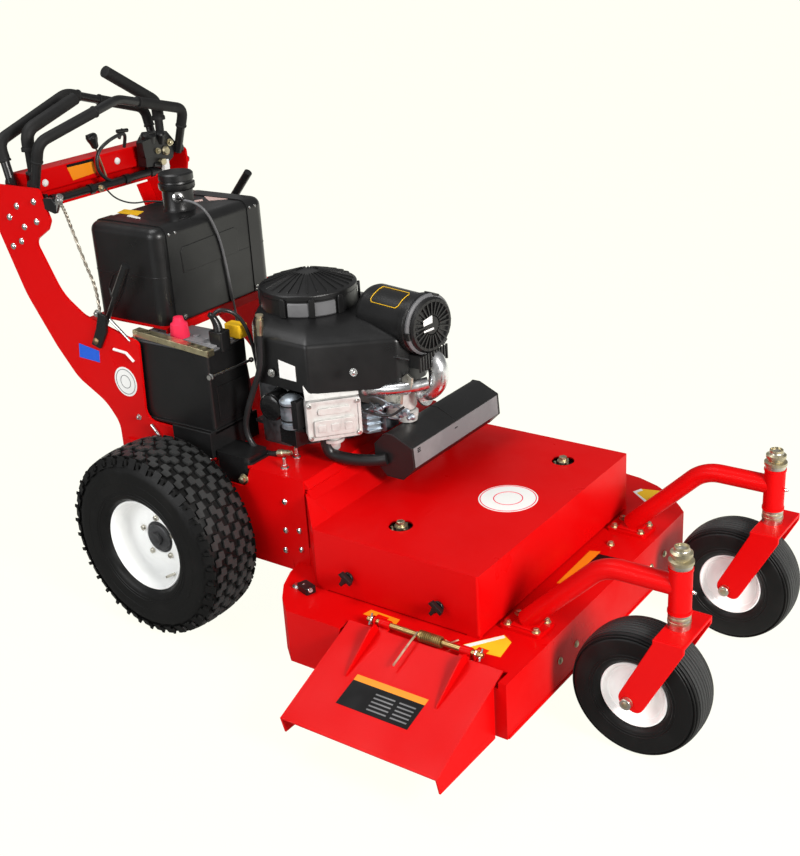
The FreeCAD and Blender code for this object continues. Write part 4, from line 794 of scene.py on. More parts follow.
def air_cleaner_details():
    """Lip ring, finned end cap, clips, blank label and outline on the air cleaner."""
    axis = Vector((*polar(1, -11), 0))
    side = UP.cross(axis)
    middle = Vector((526, 0, 706))
    end = middle + side * 3
    (Form()
     .lathe([(-16, 0), (-16, 65.4), (-13, 68), (-8, 68.4), (-5, 65), (-5, 0)], end, axis, 72)
     .made("cleaner_lip", "black_plastic", GREY_PLASTIC_AND_HIGHLIGHT, angle=40))
    profile = [(-6, 0), (-6, 62), (0, 62), (4, 58), (4, 52), (-1, 49), (-1, 24), (3, 20), (3, 0)]
    cap = Form().lathe(profile, end, axis, 72)
    for step in range(24):
        radial = across(side, 15 * step)
        fin = [(22, -1.6), (58, -1.6), (58, 1.6), (22, 1.6)]
        cap.prism(fin, end - axis * 2, radial, axis.cross(radial), 6.5)
    cap.made("cleaner_cap", "black_plastic", angle=30)
    label = Form()
    for wide, tall, shift, lift in ((13.5, 11, -14, 12), (15, 3.2, -12, -8)):
        centre = end + axis * 4.4 + side * shift + UP * lift
        label.patch([centre + side * (x * wide) + UP * (y * tall)
                     for x, y in ((-1, -0.7), (1, -0.5), (1, 1), (-1, 0.5))], axis)
    label.made("cleaner_end_label", "black_plastic", WHITE_PRINT)
    start = middle - axis * 160
    points = []
    for along, around in ((22, -4), (104, -4), (110, 2), (110, 36), (104, 42), (28, 42), (22, 36), (22, -4)):
        points.append(start + axis * along + across(side, around + 98) * 64.6)
    fine = []
    for a, b in zip(points, points[1:]):
        for step in range(6):
            spot = a + (b - a) * step / 6
            centre = start + axis * (spot - start).dot(axis)
            fine.append(centre + (spot - centre).normalized() * 64.6)
    Form().sweep(fine + fine[:1], 0.8, 6, False).made("cleaner_outline", "black_plastic", YELLOW)
    clips = Form()
    for angle in (70, 190, 310):
        radial = across(side, angle)
        place = end - axis * 6 + radial * 64
        clips.prism([(-9, -26), (9, -26), (9, 4), (-9, 4)], place, axis.cross(radial), axis, 5.0)
    clips.made("cleaner_clips", "black_plastic", bevel=1.0)
    vent = Form()
    for step in range(11):
        vent.prism([(-2.2, 0), (2.2, 0), (2.2, 34), (-2.2, 34)], (529, -52 + 10.4 * step, 614), LEFT, UP, 4.0)
    vent.made("vent_fins", "black_plastic")


def starter_and_filter():
    """Starter barrel with its end cap and bands, and the oil filter's flutes and blank label."""
    (Form()
     .lathe([(0, 0), (0, 20), (3, 26.6), (14, 26.6), (15, 24), (19, 24), (20, 26.6), (58, 26.6), (61, 28),
             (66, 28), (70, 24), (76, 16), (76, 0)], (268, -184, 484), UP, 48)
     .made("starter_barrel", "engine_casting", BLUE_CAST, replaces=("starter",), angle=40))
    (Form()
     .each("disc", [(268, -184, 504), (268, -184, 540)], UP, 27.4, 5, 48)
     .block((284, -206, 490), (300, -176, 556))
     .block((236, -186, 486), (262, -120, 556))
     .prism([(236, -196), (290, -206), (306, -150), (240, -112)], (0, 0, 446), AHEAD, LEFT, 40.0)
     .made("starter_bands", "filter_paint", bevel=0.8))
    (Form()
     .lathe([(0, 0), (0, 34), (3, 36), (12, 36), (14, 33), (52, 33), (60, 30), (63, 24), (63, 0)],
            (205, -128, 519), RIGHT, 48)
     .made("filter_can", "filter_paint", angle=40))
    band = Form()
    for start, stop in ((150, 196), (204, 232)):
        rows = []
        for along, reach in ((46, 33.3), (50, 33.3), (56, 31.62), (60, 29.94)):
            spots = [polar(reach, turn) for turn in range(start, stop + 1, 4)]
            rows.append(band.row((205 + x, -128 - along, 519 + z) for x, z in spots))
        band.skin(rows, False)
    band.made("filter_print", "filter_paint", YELLOW)


def muffler_body():
    """Muffler with one wide face towards the front painted grey as a painted highlight, end seams, slots and
    mounting straps.
    """
    corners = [(52.6, 92), (56.8, 31)]
    corners += [(56.9, turn) for turn in (-22.5, -67.5, -112.5, -157.5, 157.5, 112.5)]
    section = [polar(reach, turn) for reach, turn in corners]
    (Form()
     .prism(section, (472, 282, 416), AHEAD, UP, 370.0)
     .made("muffler_body", "black_paint", replaces=("muffler",), bevel=3.0))
    seams = Form()
    for y, thick in ((-85, 4), (281, 4), (96, 3)):
        seams.prism([(1.015 * x, 1.015 * z) for x, z in section], (472, y, 416), AHEAD, UP, thick)
    seams.made("muffler_seams", "black_paint", bevel=1.0)
    high, low = [Vector((472 + x, 0, 416 + z)) for x, z in section[1:3]]
    up = (high - low).normalized()
    wide = (high - low).length - 2.5
    # Painted highlight: a thin grey sheet on the long face turned to the front, standing for the light it
    # catches.
    (Form()
     .prism([(5, 2.5), (360, 2.5), (360, wide), (5, wide)], low + RIGHT * 87, LEFT, up, 0.8)
     .made("muffler_lit_face", "black_paint", LIT_FACE_GREY, bevel=0.3))
    slots = Form()
    for y, lift in ((-62, -6), (-62, -2), (-62, 2), (90, -6)):
        place = high.lerp(low, 0.2) + LEFT * y + LEFT.cross(up) * 0.4 + up * lift
        slots.prism([(-6, -1.2), (6, -1.2), (6, 1.2), (-6, 1.2)], place, LEFT, up, 0.9)
    slots.made("muffler_slots", "black_paint", BLACK_PRINT)
    (Form()
     .block((410, 20, 352), (424, 50, 440))
     .block((410, 200, 352), (424, 230, 440))
     .made("muffler_straps", "black_paint", bevel=0.8))


def exhaust():
    """Exhaust pipe that drops below the right cylinder and runs forward into the muffler."""
    (Form()
     .sweep(smooth_line([(331, -150, 468), (331, -150, 442), (340, -148, 421), (362, -140, 412),
                         (394, -122, 405), (430, -103, 404), (454, -92, 408)], 8), 13.5, 24)
     .disc((331, -150, 462), UP, 22, 6, 28)
     .made("exhaust_bend", "black_paint", replaces=("exhaust_pipe",)))


def oil_drain():
    """Drain hose from its clip beside the shroud down to the sump, with two plated fittings."""
    (Form()
     .lathe([(0, 0), (0, 9), (4, 9), (4, 5.5), (10, 5.5), (10, 8.5), (30, 8.5), (34, 7), (48, 7), (48, 0)],
            (203, -189, 741), (-0.1, 0, -1), 20)
     .lathe([(0, 0), (0, 8.5), (14, 8.5), (16, 6.5), (30, 6.5), (30, 4), (38, 4), (38, 0)], (214, -185, 408),
            (1, 0.1, 0.22), 20)
     .made("drain_fittings", "steel", BRASS, angle=40))
    route = [(198, -189, 696), (196, -189, 655), (190, -190, 612), (166, -191, 562), (142, -192, 510),
             (126, -192, 462), (136, -191, 420), (168, -188, 398), (198, -186, 402), (218, -185, 409)]
    tube("drain_hose", route, 14.0, SOFT_BLACK)


for name, sign in SIDES:
    valve_cover(name, sign)
crankcase_castings()
intake()
shroud_housing()
shroud_details()
air_cleaner_details()
starter_and_filter()
muffler_body()
exhaust()
oil_drain()


# ---------------------------------------------------------------- tank and battery

TANK_REAR, TANK_FRONT, TANK_HALF, TANK_TOP = -322.0, -90.0, 190.0, 898.0


def tank_details():
    """Shallow panel, seam, vent, clip, strap bolts and blank labels of the fuel tank."""
    (Form()
     .prism([(-116, 780), (78, 782), (82, 838), (70, 846), (-108, 842), (-118, 832)], (TANK_FRONT - 2, 0, 0),
            LEFT, UP, 3.4)
     .made("tank_panel", "black_plastic", bevel=2.0))
    (Form()
     .prism(rounded(116.6, 190.6, 30, 8), ((TANK_REAR + TANK_FRONT) / 2, 0, 782), AHEAD, LEFT, 2.6)
     .made("tank_seam", "black_plastic", bevel=1.0))
    side = -TANK_HALF + 1
    (Form()
     .sweep([(-270, side - 1, 742), (-250, side - 1, 776), (-214, side - 1, 793), (-204, side - 1, 780),
             (-226, side - 1, 736), (-262, side - 1, 690), (-270, side - 1, 742)], 2.6, 10)
     .made("tank_recess_edge", "black_plastic"))
    (Form()
     .lathe([(0, 0), (0, 42), (5, 39), (10, 37.5), (50, 37), (52, 42), (56, 44), (66, 44), (68, 40), (72, 39),
             (74, 42), (88, 42), (92, 38), (92, 0)], (-195, 0, TANK_TOP - 2), UP, 64)
     .made("tank_neck", "black_plastic", replaces=("tank_cap",), angle=40))
    out = (0.72, -0.68, 0.1)
    (Form()
     .lathe([(0, 0), (0, 13), (4, 13), (6, 10), (7, 6), (7, 0)], (-168, -27, 934), out, 28)
     .made("neck_vent", "steel", BRIGHT, angle=40))
    (Form()
     .lathe([(0, 0), (0, 6.5), (12, 6), (14, 3), (14, 0)], (-163, -32, 935), out, 20)
     .disc((-150, -34, 934), (1, -0.2, -0.4), 5, 10, 16)
     .made("vent_barb", "black_plastic"))
    (Form()
     .patch([(-312, -95, 898), (-242, -96, 898), (-259, -58, 898), (-323, -61, 898)], UP)
     .made("tank_label_rear", "black_plastic", YELLOW))
    (Form()
     .patch([(-183, 90, 898), (-140, 131, 898), (-176, 150, 898), (-227, 121, 898)], UP)
     .patch([(-226, 60, 898), (-214, 52, 898), (-196, 84, 898), (-210, 96, 898)], UP)
     .made("tank_label_left", "black_plastic", PINK_PRINT))
    (Form()
     .prism(rounded(24, 6, 3), (-236, -113, 897.5), (0.96, -0.25, 0), (0.25, 0.96, 0), 3.0)
     .made("tank_clip", "black_plastic", WHITE_PRINT, bevel=0.6))
    bolts = Form()
    for y in (-150, -130, 130, 150):
        bolts.hexagon((TANK_FRONT + 0.6, y, 880), (1, 0, 0.25), 6.5, 3.0, False)
        bolts.hexagon((TANK_FRONT + 1.6, y, 678), AHEAD, 7.0, 3.0)
        bolts.hexagon((TANK_REAR - 1.6, y, 880), (-1, 0, 0.25), 9.0, 4.0)
    bolts.made("strap_bolts", "steel", BRIGHT)
    tube("vent_hose", [(-146, -36, 931), (-130, -34, 930), (-104, -31, 925), (-86, -24, 908), (-84, -8, 880),
                       (-85, 14, 826), (-85, 26, 750), (-85, 32, 690), (-85, 38, 640), (-84, 46, 560),
                       (-80, 52, 480), (-76, 56, 401)], 6.5, CABLE)
    route = [(-424, -24, 938), (-412, -22, 922), (-392, -18, 908), (-368, -8, 899), (-346, 2, 897),
             (-326, 14, 900.5), (-300, 26, 901), (-284, 34, 899)]
    tube("choke_cable", route, 4.0, SOFT_BLACK)


def battery_details():
    """Hold-down strip and rod, terminal caps and lid of the battery."""
    lid = Form()
    lid.prism([(-158, -238), (70, -238), (70, -114), (-158, -114)], (0, 0, 646), AHEAD, LEFT, 6.0)
    lid.prism([(-140, -206), (52, -206), (52, -146), (-140, -146)], (0, 0, 651), AHEAD, LEFT, 4.0)
    for x in (-120, -84, -48, -12, 24):
        lid.lathe([(0, 0), (0, 9), (2.4, 8), (2.4, 0)], (x, -176, 655), UP, 20)
    lid.made("battery_lid", "battery_case", TOP_GREY, bevel=1.5)
    (Form()
     .prism([(-146, 672), (88, 655), (88, 649), (-146, 666)], (0, -225, 0), AHEAD, UP, 22.0)
     .prism([(-146, 672), (88, 655), (88, 641), (-146, 657)], (0, -245, 0), AHEAD, UP, 3.0)
     .block((-148, -247, 636), (-143, -240, 670))
     .block((83, -247, 640), (88, -225, 652))
     .made("battery_strip", "steel", PALE_ZINC, bevel=0.8))
    (Form()
     .lathe([(0, 0), (0, 21), (5, 23), (34, 20), (39, 14), (42, 13), (50, 11), (52, 0)], (-44, -196, 653), UP,
            28)
     .made("terminal_cap", "battery_case", PINK_CAP, angle=40))
    (Form()
     .prism(rounded(20, 17, 6), (66, -180, 636), AHEAD, LEFT, 46.0)
     .sweep(smooth_line([(64, -180, 676), (62, -180, 694), (56, -184, 712), (52, -192, 722)], 5),
            [12.0 - 0.4 * step for step in range(16)], 16)
     .made("terminal_elbow", "black_plastic", bevel=2.0))
    (Form()
     .prism(rounded(24, 15, 5), (70, -128, 652), AHEAD, LEFT, 32.0)
     .made("yellow_cap", "battery_case", YELLOW, bevel=2.5))
    # Black plates over the frame's side and front below the battery, where that region is dark.
    (Form()
     .block((-34, -268, 399), (86, -262, 462))
     .block((80, -262, 399), (86, -104, 462))
     .block((-166, -250, 452), (86, -104, 459))
     .made("black_plates_below_battery", "black_paint", bevel=1.5))
    (Form()
     .rod((88, -247, 594), (88, -107, 590), 3.2, 12)
     .lathe([(0, 0), (0, 8), (3, 8), (5, 6), (9, 6), (9, 0)], (88, -243, 594), RIGHT, 16)
     .disc((88, -110, 590), LEFT, 6, 5, 16)
     .each("hexagon", [(x, -245.6, z) for x, z in ((-166, 612), (-162, 500))], RIGHT, 10.0, 5.0)
     .made("battery_rod", "steel", BRIGHT))
    (Form()
     .prism([(-226, 476), (-126, 476), (-126, 560), (-226, 560)], (82, 0, 0), LEFT, UP, 2.4)
     .made("battery_panel", "black_plastic", bevel=1.5))
    route = [(60, -188, 716), (66, -186, 728), (82, -176, 732), (98, -158, 722), (108, -140, 694),
             (112, -126, 650), (112, -118, 604), (110, -112, 570), (106, -104, 548)]
    tube("battery_lead", route, 9.0, SOFT_BLACK)


tank_details()
battery_details()


# ---------------------------------------------------------------- handle and controls

FACE, FRAME_FACE = 258.7, 265.0
BAIL_Z, BAIL_HALF = 975.0, 239.4


def cut_line(line, start, stop):
    """Part of a line between two shares of its length."""
    sizes = [0.0]
    for a, b in zip(line, line[1:]):
        sizes.append(sizes[-1] + (b - a).length)
    total = sizes[-1]
    places = sorted({start, stop} | {size / total for size in sizes if start < size / total < stop})
    points = []
    for place in places:
        for index in range(len(line) - 1):
            if sizes[index] <= place * total <= sizes[index + 1] + 1e-6:
                t = (place * total - sizes[index]) / max(sizes[index + 1] - sizes[index], 1e-9)
                points.append(line[index].lerp(line[index + 1], t))
                break
    return points


def bail_sleeve(form, x, tilt, rise, peak, start, stop, radius):
    """A soft sleeve over part of a bail, with a rolled end."""
    half = BAIL_HALF
    flat = bent([(-half, 0, 0), (-half, rise, 34), (0, peak, 60), (half, rise, 34), (half, 0, 0)])
    turn = math.radians(tilt)
    points = [Vector((x + up * math.sin(turn), y, BAIL_Z + up * math.cos(turn)))
              for y, up in cut_line(flat, start, stop)]
    form.sweep(points, radius, 20)
    for end, after in ((points[0], points[1]), (points[-1], points[-2])):
        form.lathe([(-1.5, 0), (-1.5, radius + 0.6), (0, radius + 1.4), (3, radius + 1.4), (4.5, radius),
                    (4.5, 0)], end, after - end, 20)


def bails_and_grips():
    """Sleeves on both bails, foam grips with their end rolls and clamps."""
    form = Form()
    bail_sleeve(form, -500, -13, 111, 186, 0.09, 0.55, 14.5)
    bail_sleeve(form, -500, -13, 111, 186, 0.64, 0.91, 13.0)
    bail_sleeve(form, -421, 19, 120, 186, 0.1, 0.4, 13.2)
    bail_sleeve(form, -421, 19, 120, 186, 0.6, 0.9, 13.2)
    form.made("bail_sleeves", "grip_foam", angle=50)
    for name, sign in SIDES:
        lean = 98.6 if sign > 0 else 50.0
        flat = bent([(213.9, 1066, 0), (213.9, 1107, 36), (53.9, 1107 + lean, 0)])
        points = [Vector((-450.7, y * sign, z)) for y, z in flat]
        along = (points[-1] - points[-2]).normalized()
        (Form()
         .sweep(points, 15.2, 24)
         .lathe([(0, 0), (0, 15.2), (1.5, 13), (2, 8), (2, 0)], points[-1], along, 24)
         .lathe([(0, 0), (0, 18), (8, 18), (10, 16.5), (10, 0)], points[0] - UP * 5, UP, 24)
         .made("foam_grip_" + name, "grip_foam", angle=50))
        foot = Form()
        foot.lathe([(0, 0), (0, 17), (5, 17), (7, 13), (7, 0)], (-450.7, 213.9 * sign, 1007), UP, 24)
        for x in (-421, -500):
            foot.lathe([(-3, 0), (-3, 15), (3, 15), (3, 0)], (x, 246 * sign, 986), LEFT, 24)
        foot.made("grip_foot_" + name, "black_paint", angle=40)


def console_details():
    """Blank warning plate, bolts, choke knob, throttle loop and switch box on the console."""
    x = -461.8
    (Form()
     .patch([(x, -101, 998), (x, -16, 997), (x, -11, 968), (x, -88, 964)], AHEAD)
     .made("console_plate", "red_paint", ORANGE))
    (Form()
     .patch([(x + 0.3, -101, 1005), (x + 0.3, -18, 1004), (x + 0.3, -16, 997), (x + 0.3, -101, 998)], AHEAD)
     .made("console_plate_band", "red_paint", BLACK_PRINT))
    (Form()
     .each("dome_bolt", [(x, y, z) for y, z in ((-174, 976), (63, 982), (210, 976))], AHEAD, 9.0, 6.0)
     .made("console_bolts", "red_paint", WHITE_PRINT, angle=50))
    Form().rod((-455, 14, 952), (-448, -12, 1028), 2.4, 10).made("choke_stem", "steel", BRASS)
    axis = Vector((0.06, -0.33, 0.94))
    place = Vector((-448, -13, 1030))
    (Form()
     .lathe([(0, 0), (0, 6), (4, 9), (16, 11), (24, 14), (32, 15), (36, 12), (36, 0)], place, axis, 24)
     .prism([(-15, 0), (15, 0), (13, 9), (-13, 9)], place + axis * 30 + Vector((5, 0, 0)), (0, 1, 0.1), axis,
            -10)
     .made("choke_knob", "black_plastic", bevel=1.0))
    route = [(-452, 84, 1014), (-442, 84, 1040), (-436, 74, 1052), (-436, 52, 1050), (-438, 22, 1042),
             (-440, -10, 1026), (-441, -24, 1000), (-441, -20, 972), (-440, 0, 950), (-441, 28, 937),
             (-452, 46, 936)]
    tube("throttle_loop", route, 9.0, SOFT_BLACK)
    (Form()
     .rod((-440, 60, 1040), (-440, 76, 1062), 4.0, 12)
     .rod((-440, 56, 1059), (-440, 92, 1056), 5.0, 12)
     .made("throttle_lever", "black_plastic"))
    (Form()
     .prism([(124, 956), (196, 950), (222, 964), (236, 1002), (210, 1034), (150, 1040), (126, 1018)],
            (-452, 0, 0), LEFT, UP, 30.0)
     .lathe([(0, 0), (0, 20), (18, 20), (22, 17), (22, 0)], (-432, 150, 1016), (0.2, 0, 1), 28)
     .lathe([(0, 0), (0, 14), (26, 12), (30, 8), (30, 0)], (-430, 188, 1010), (0.5, -0.2, 1), 24)
     .prism(rounded(16, 22, 5), (-426, 128, 1004), (0, 1, 0.1), (0, -0.1, 1), 14.0)
     .rod((-424, 150, 958), (-424, 204, 944), 7.0, 14)
     .made("control_box", "black_plastic", bevel=2.0))
    (Form()
     .lathe([(0, 0), (0, 12), (4, 12), (7, 8), (7, 0)], (-421, 196, 986), (1, -0.1, 0.1), 24)
     .disc((-421, 176, 962), (1, -0.2, 0), 8, 14, 20)
     .hexagon((-421, 214, 1004), AHEAD, 12.0, 7.0)
     .hexagon((-421, 168, 990), (1, 0, 0.2), 10.0, 6.0)
     .made("control_fittings", "steel", BRASS))
    (Form()
     .prism(rounded(9, 16, 3), (-421, 184, 950), LEFT, UP, 12.0)
     .made("control_tab", "black_plastic", WHITE_PRINT, bevel=1.0))
    (Form()
     .rod((-443, -196, 936), (-443, 196, 936), 9.5, 18)
     .each("disc", [(-443, y, 936) for y in (-180, -60, 60, 150)], LEFT, 13, 14, 20)
     .made("control_rail", "black_paint", angle=40))
    Form().hexagon((-431, -30, 934), AHEAD, 11.0, 6.0).made("rail_pin", "steel", BRASS)


def twisted_rod():
    """Twisted pull rod from the upper clevis to the brake clevis, with both clevises."""
    line = smooth_line([(-328, -250, 960), (-314, -250, 936), (-299, -250, 895), (-272, -250, 820),
                        (-250, -250, 762), (-246, -250, 700)], 14)
    rod = Form()
    for phase in (0.0, math.pi):
        points = []
        for index, spot in enumerate(line):
            angle = phase + index * 0.9
            points.append(spot + Vector((math.cos(angle) * 2.0, math.sin(angle) * 2.0, 0)))
        rod.sweep(points, 2.3, 8)
    rod.made("twisted_rod", "steel", DULL_STEEL)
    (Form()
     .rod((-346, -250, 934), (-322, -250, 974), 8.0, 16)
     .disc((-362, -252, 950), LEFT, 11, 9, 20)
     .hexagon((-318, -256, 964), RIGHT, 13.0, 7.0)
     .hexagon((-248, -256, 700), RIGHT, 12.0, 6.0)
     .rod((-206, -258, 692), (-146, -258, 647), 3.4, 12)
     .made("rod_fittings", "steel", BRIGHT))
    (Form()
     .prism([(-374, 938), (-340, 930), (-332, 952), (-344, 966), (-374, 964)], (0, -246, 0), AHEAD, UP, 13.0)
     .prism([(-276, 622), (-248, 614), (-218, 660), (-212, 700), (-236, 706), (-252, 664)], (0, -258, 0),
            AHEAD, UP, 8.0)
     .made("brake_clevis", "black_paint", bevel=1.5))
    Form().dome_bolt((-258, -266, 632), RIGHT, 9.0, 5.0).made("clevis_pin", "steel", WORN_BRONZE)


def plate_details():
    """Bolts, blank labels and clips on both handle plates."""
    y = -FACE
    (Form()
     .patch([(-334, y, 578), (-264, y, 575), (-260, y, 605), (-329, y, 614)], RIGHT)
     .made("side_label", "red_paint", BLUE_PRINT))
    for name, sign in SIDES:
        out = Vector((0, sign, 0))
        (Form()
         .disc((-182, FACE * sign, 540), out, 37, 0.5, 56)
         .made("round_label_" + name, "red_paint", WHITE_PRINT))
        ring = Form()
        for inner, outer in ((30.5, 32), (15.5, 17)):
            ring.lathe([(0.4, inner), (0.4, outer), (0.9, outer), (0.9, inner)], (-182, FACE * sign, 540),
                       out, 56, True)
        ring.made("label_ring_" + name, "red_paint", GREY_PLASTIC_AND_HIGHLIGHT)
        (Form()
         .each("dome_bolt", [(x, FACE * sign, z) for x, z in ((-474, 937), (-409, 953), (-508, 907),
                                                              (-410, 905), (-458, 888), (-478, 851),
                                                              (-512, 835))], out, 8.5, 5.5)
         .made("head_bolts_" + name, "steel", BRIGHT, angle=50))
        (Form()
         .each("hexagon", [(x, FACE * sign, z) for x, z in ((-152, 455), (-77, 408))], out, 9.0, 5.0)
         .each("dome_bolt", [(x, FRAME_FACE * sign, z) for x, z in ((291, 337), (286, 264), (327, 273),
                                                                    (280, 212), (328, 225))],
               out, 7.5, 5.0)
         .made("frame_bolts_" + name, "steel", BRIGHT, angle=50))
        nut = Form().hexagon((175, FRAME_FACE * sign, 368), out, 15.0, 9.0)
        nut.made("frame_nut_" + name, "steel", BRASS)
    (Form()
     .rod((-206, y - 2, 619), (-164, y - 2, 616), 3.4, 10)
     .rod((-164, y - 2, 616), (-142, y - 2, 598), 3.4, 10)
     .made("plate_clip", "red_paint", WHITE_PRINT))
    clips = Form()
    for a, b in (((-108, 446), (-94, 432)), ((-94, 432), (-77, 408)), ((-70, 416), (-58, 408))):
        clips.rod((a[0], y - 6, a[1]), (b[0], y - 6, b[1]), 4.5, 12)
    clips.made("latch_pin", "steel", BRIGHT)


bails_and_grips()
console_details()
twisted_rod()
plate_details()


# ---------------------------------------------------------------- frame, cover and deck

DECK_TOP, COVER_TOP, COVER_HALF = 190.0, 332.6, 333.0


def cover_details():
    """Spindle bolts in their holes, T-latches and round blank label of the belt cover, and the deck's pins."""
    bolts = Form()
    for x, y in ((580, -225), (726, 228)):
        bolts.disc((x, y, 322), UP, 10, 14, 20)
        bolts.hexagon((x, y, 332), UP, 17.0, 9.0)
        for dx, dy in ((-16, -10), (16, -8), (2, 18)):
            bolts.lathe([(0, 0), (0, 3.6), (9, 3), (9, 0)], (x + dx, y + dy, 322), UP, 12)
    bolts.made("spindle_bolts", "steel", BRASS)
    (Form()
     .each("disc", [(x, y, 319) for x, y in ((580, -225), (726, 228))], UP, 25.6, 3, 40)
     .made("spindle_caps", "black_paint"))
    Form().disc((715, -4, COVER_TOP), UP, 66, 0.5, 96).made("cover_label", "red_paint", WHITE_PRINT)
    ring = Form()
    for inner, outer in ((61, 63), (31, 33)):
        ring.lathe([(0.4, inner), (0.4, outer), (0.9, outer), (0.9, inner)], (715, -4, COVER_TOP), UP, 96,
                   True)
    ring.made("cover_label_ring", "red_paint", PINK_CAP)
    latch = Form()
    for x, y, z, out in ((514, -COVER_HALF, 241, -1), (744, -COVER_HALF, 239, -1), (514, COVER_HALF, 241, 1),
                         (744, COVER_HALF, 239, 1)):
        latch.lathe([(0, 0), (0, 13), (5, 13), (7, 8), (20, 7), (20, 0)], (x, y, z), (0, out, 0), 20)
        latch.prism([(-18, 4), (-5, 4), (-4, -15), (4, -15), (5, 4), (18, 4), (15, 14), (-15, 14)],
                    (x, y + out * 12, z), (0.8, 0, 0.6 * out), (-0.6 * out, 0, 0.8), 10.0)
    latch.made("cover_latches", "black_plastic", bevel=1.2)
    pins = Form()
    for x, y, z in ((396, -352, 194), (420, -360, 194)):
        pins.rod((x - 12, y + 6, z), (x + 12, y - 6, z + 8), 5.5, 12)
    pins.lathe([(0, 0), (0, 14), (4, 14), (8, 9), (8, 0)], (386, -352, 190), UP, 20)
    pins.made("deck_pin", "steel", BRIGHT)
    (Form()
     .prism(rounded(20, 13, 5), (412, -356, 190), (0.95, -0.3, 0), (0.3, 0.95, 0), 16.0)
     .made("deck_pin_clip", "black_plastic", bevel=1.5))


def deck_labels():
    """Blank labels in their own colours on the deck and its flap."""
    z = DECK_TOP
    (Form()
     .patch([(577, -372, z), (582, -350, z), (657, -352, z), (661, -374, z)], UP)
     .patch([(866, -60, z), (885, -54, z), (884, 109, z), (862, 101, z)], UP)
     .made("deck_labels_orange", "red_paint", ORANGE))
    (Form()
     .patch([(820, -367, z), (874, -294, z), (900, -310, z), (908, -366, z), (876, -370, z)], UP)
     .patch([(816, 418, z), (826, 442, z), (871, 454, z), (878, 371, z)], UP)
     .made("deck_labels_yellow", "red_paint", YELLOW))
    (Form()
     .patch([(822, -368, z + 0.4), (874, -296, z + 0.4), (881, -302, z + 0.4), (836, -367, z + 0.4)], UP)
     .patch([(816, 418, z + 0.4), (826, 442, z + 0.4), (834, 436, z + 0.4), (826, 416, z + 0.4)], UP)
     .patch([(816, 418, z + 0.4), (826, 416, z + 0.4), (879, 380, z + 0.4), (878, 371, z + 0.4)], UP)
     .made("deck_labels_white", "red_paint", WHITE_PRINT))
    (Form()
     .patch([(887, -40, z), (900, -20, z), (951, 66, z), (953, 101, z), (886, 98, z)], UP)
     .made("deck_label_dark", "red_paint", BLACK_PRINT))
    slope = math.radians(22)
    down = Vector((0, -math.cos(slope), -math.sin(slope)))
    out = Vector((0, -math.sin(slope), math.cos(slope)))
    foot = Vector((0, -400, 206)) - out * 4.0
    place = []
    for x, reach in ((662, 200), (832, 200), (836, 140), (666, 140)):
        place.append(foot + Vector((x, 0, 0)) + down * reach)
    Form().patch(place, out).made("flap_label", "red_paint", BLACK_PRINT, body="discharge_flap")
    place = []
    for x, reach in ((666, 140), (836, 140), (837, 126), (667, 126)):
        place.append(foot + Vector((x, 0, 0)) + down * reach)
    Form().patch(place, out).made("flap_label_band", "red_paint", ORANGE, body="discharge_flap")
    lines = Form()
    for row in range(5):
        reach = 152 + row * 9
        for start, stop in ((730, 776), (786, 824)):
            spots = []
            for x, r in ((start, reach + 3), (stop, reach + 3), (stop, reach), (start, reach)):
                spots.append(foot + out * 0.5 + Vector((x, 0, 0)) + down * r)
            lines.patch(spots, out, 0.4)
    lines.made("flap_label_bars", "red_paint", GREY_PLASTIC_AND_HIGHLIGHT, body="discharge_flap")


def hinge_details():
    """Hinge rod sleeve, torsion spring with its arms, and cotter pins of the flap."""
    Form().rod((612, -400, 206), (890, -400, 206), 5.6, 20).made("hinge_sleeve", "steel", BRONZE)
    coil = Form()
    points = []
    for step in range(12 * 16 + 1):
        turn = 2 * math.pi * step / 16
        points.append((741 + 54 * step / 192, -400 + 9.6 * math.cos(turn), 206 + 9.6 * math.sin(turn)))
    coil.sweep(points, 2.3, 6)
    coil.made("hinge_spring", "steel", BRONZE)
    (Form()
     .sweep([(741, -392, 205), (738, -404, 214), (736, -440, 200), (734, -486, 181)], 2.4, 8)
     .made("spring_arm_flap", "steel", PALE_WIRE, body="discharge_flap"))
    (Form()
     .sweep([(795, -390, 205), (800, -380, 196), (806, -360, 193)], 2.4, 8)
     .made("spring_arm_deck", "steel", PALE_WIRE))
    pins = Form()
    for x in (618, 884):
        pins.rod((x, -392, 216), (x + 3, -410, 198), 2.2, 8)
        pins.disc((x + (6 if x < 700 else -9), -400, 206), AHEAD, 9.5, 3, 20)
    pins.made("hinge_pins", "steel", BRIGHT)


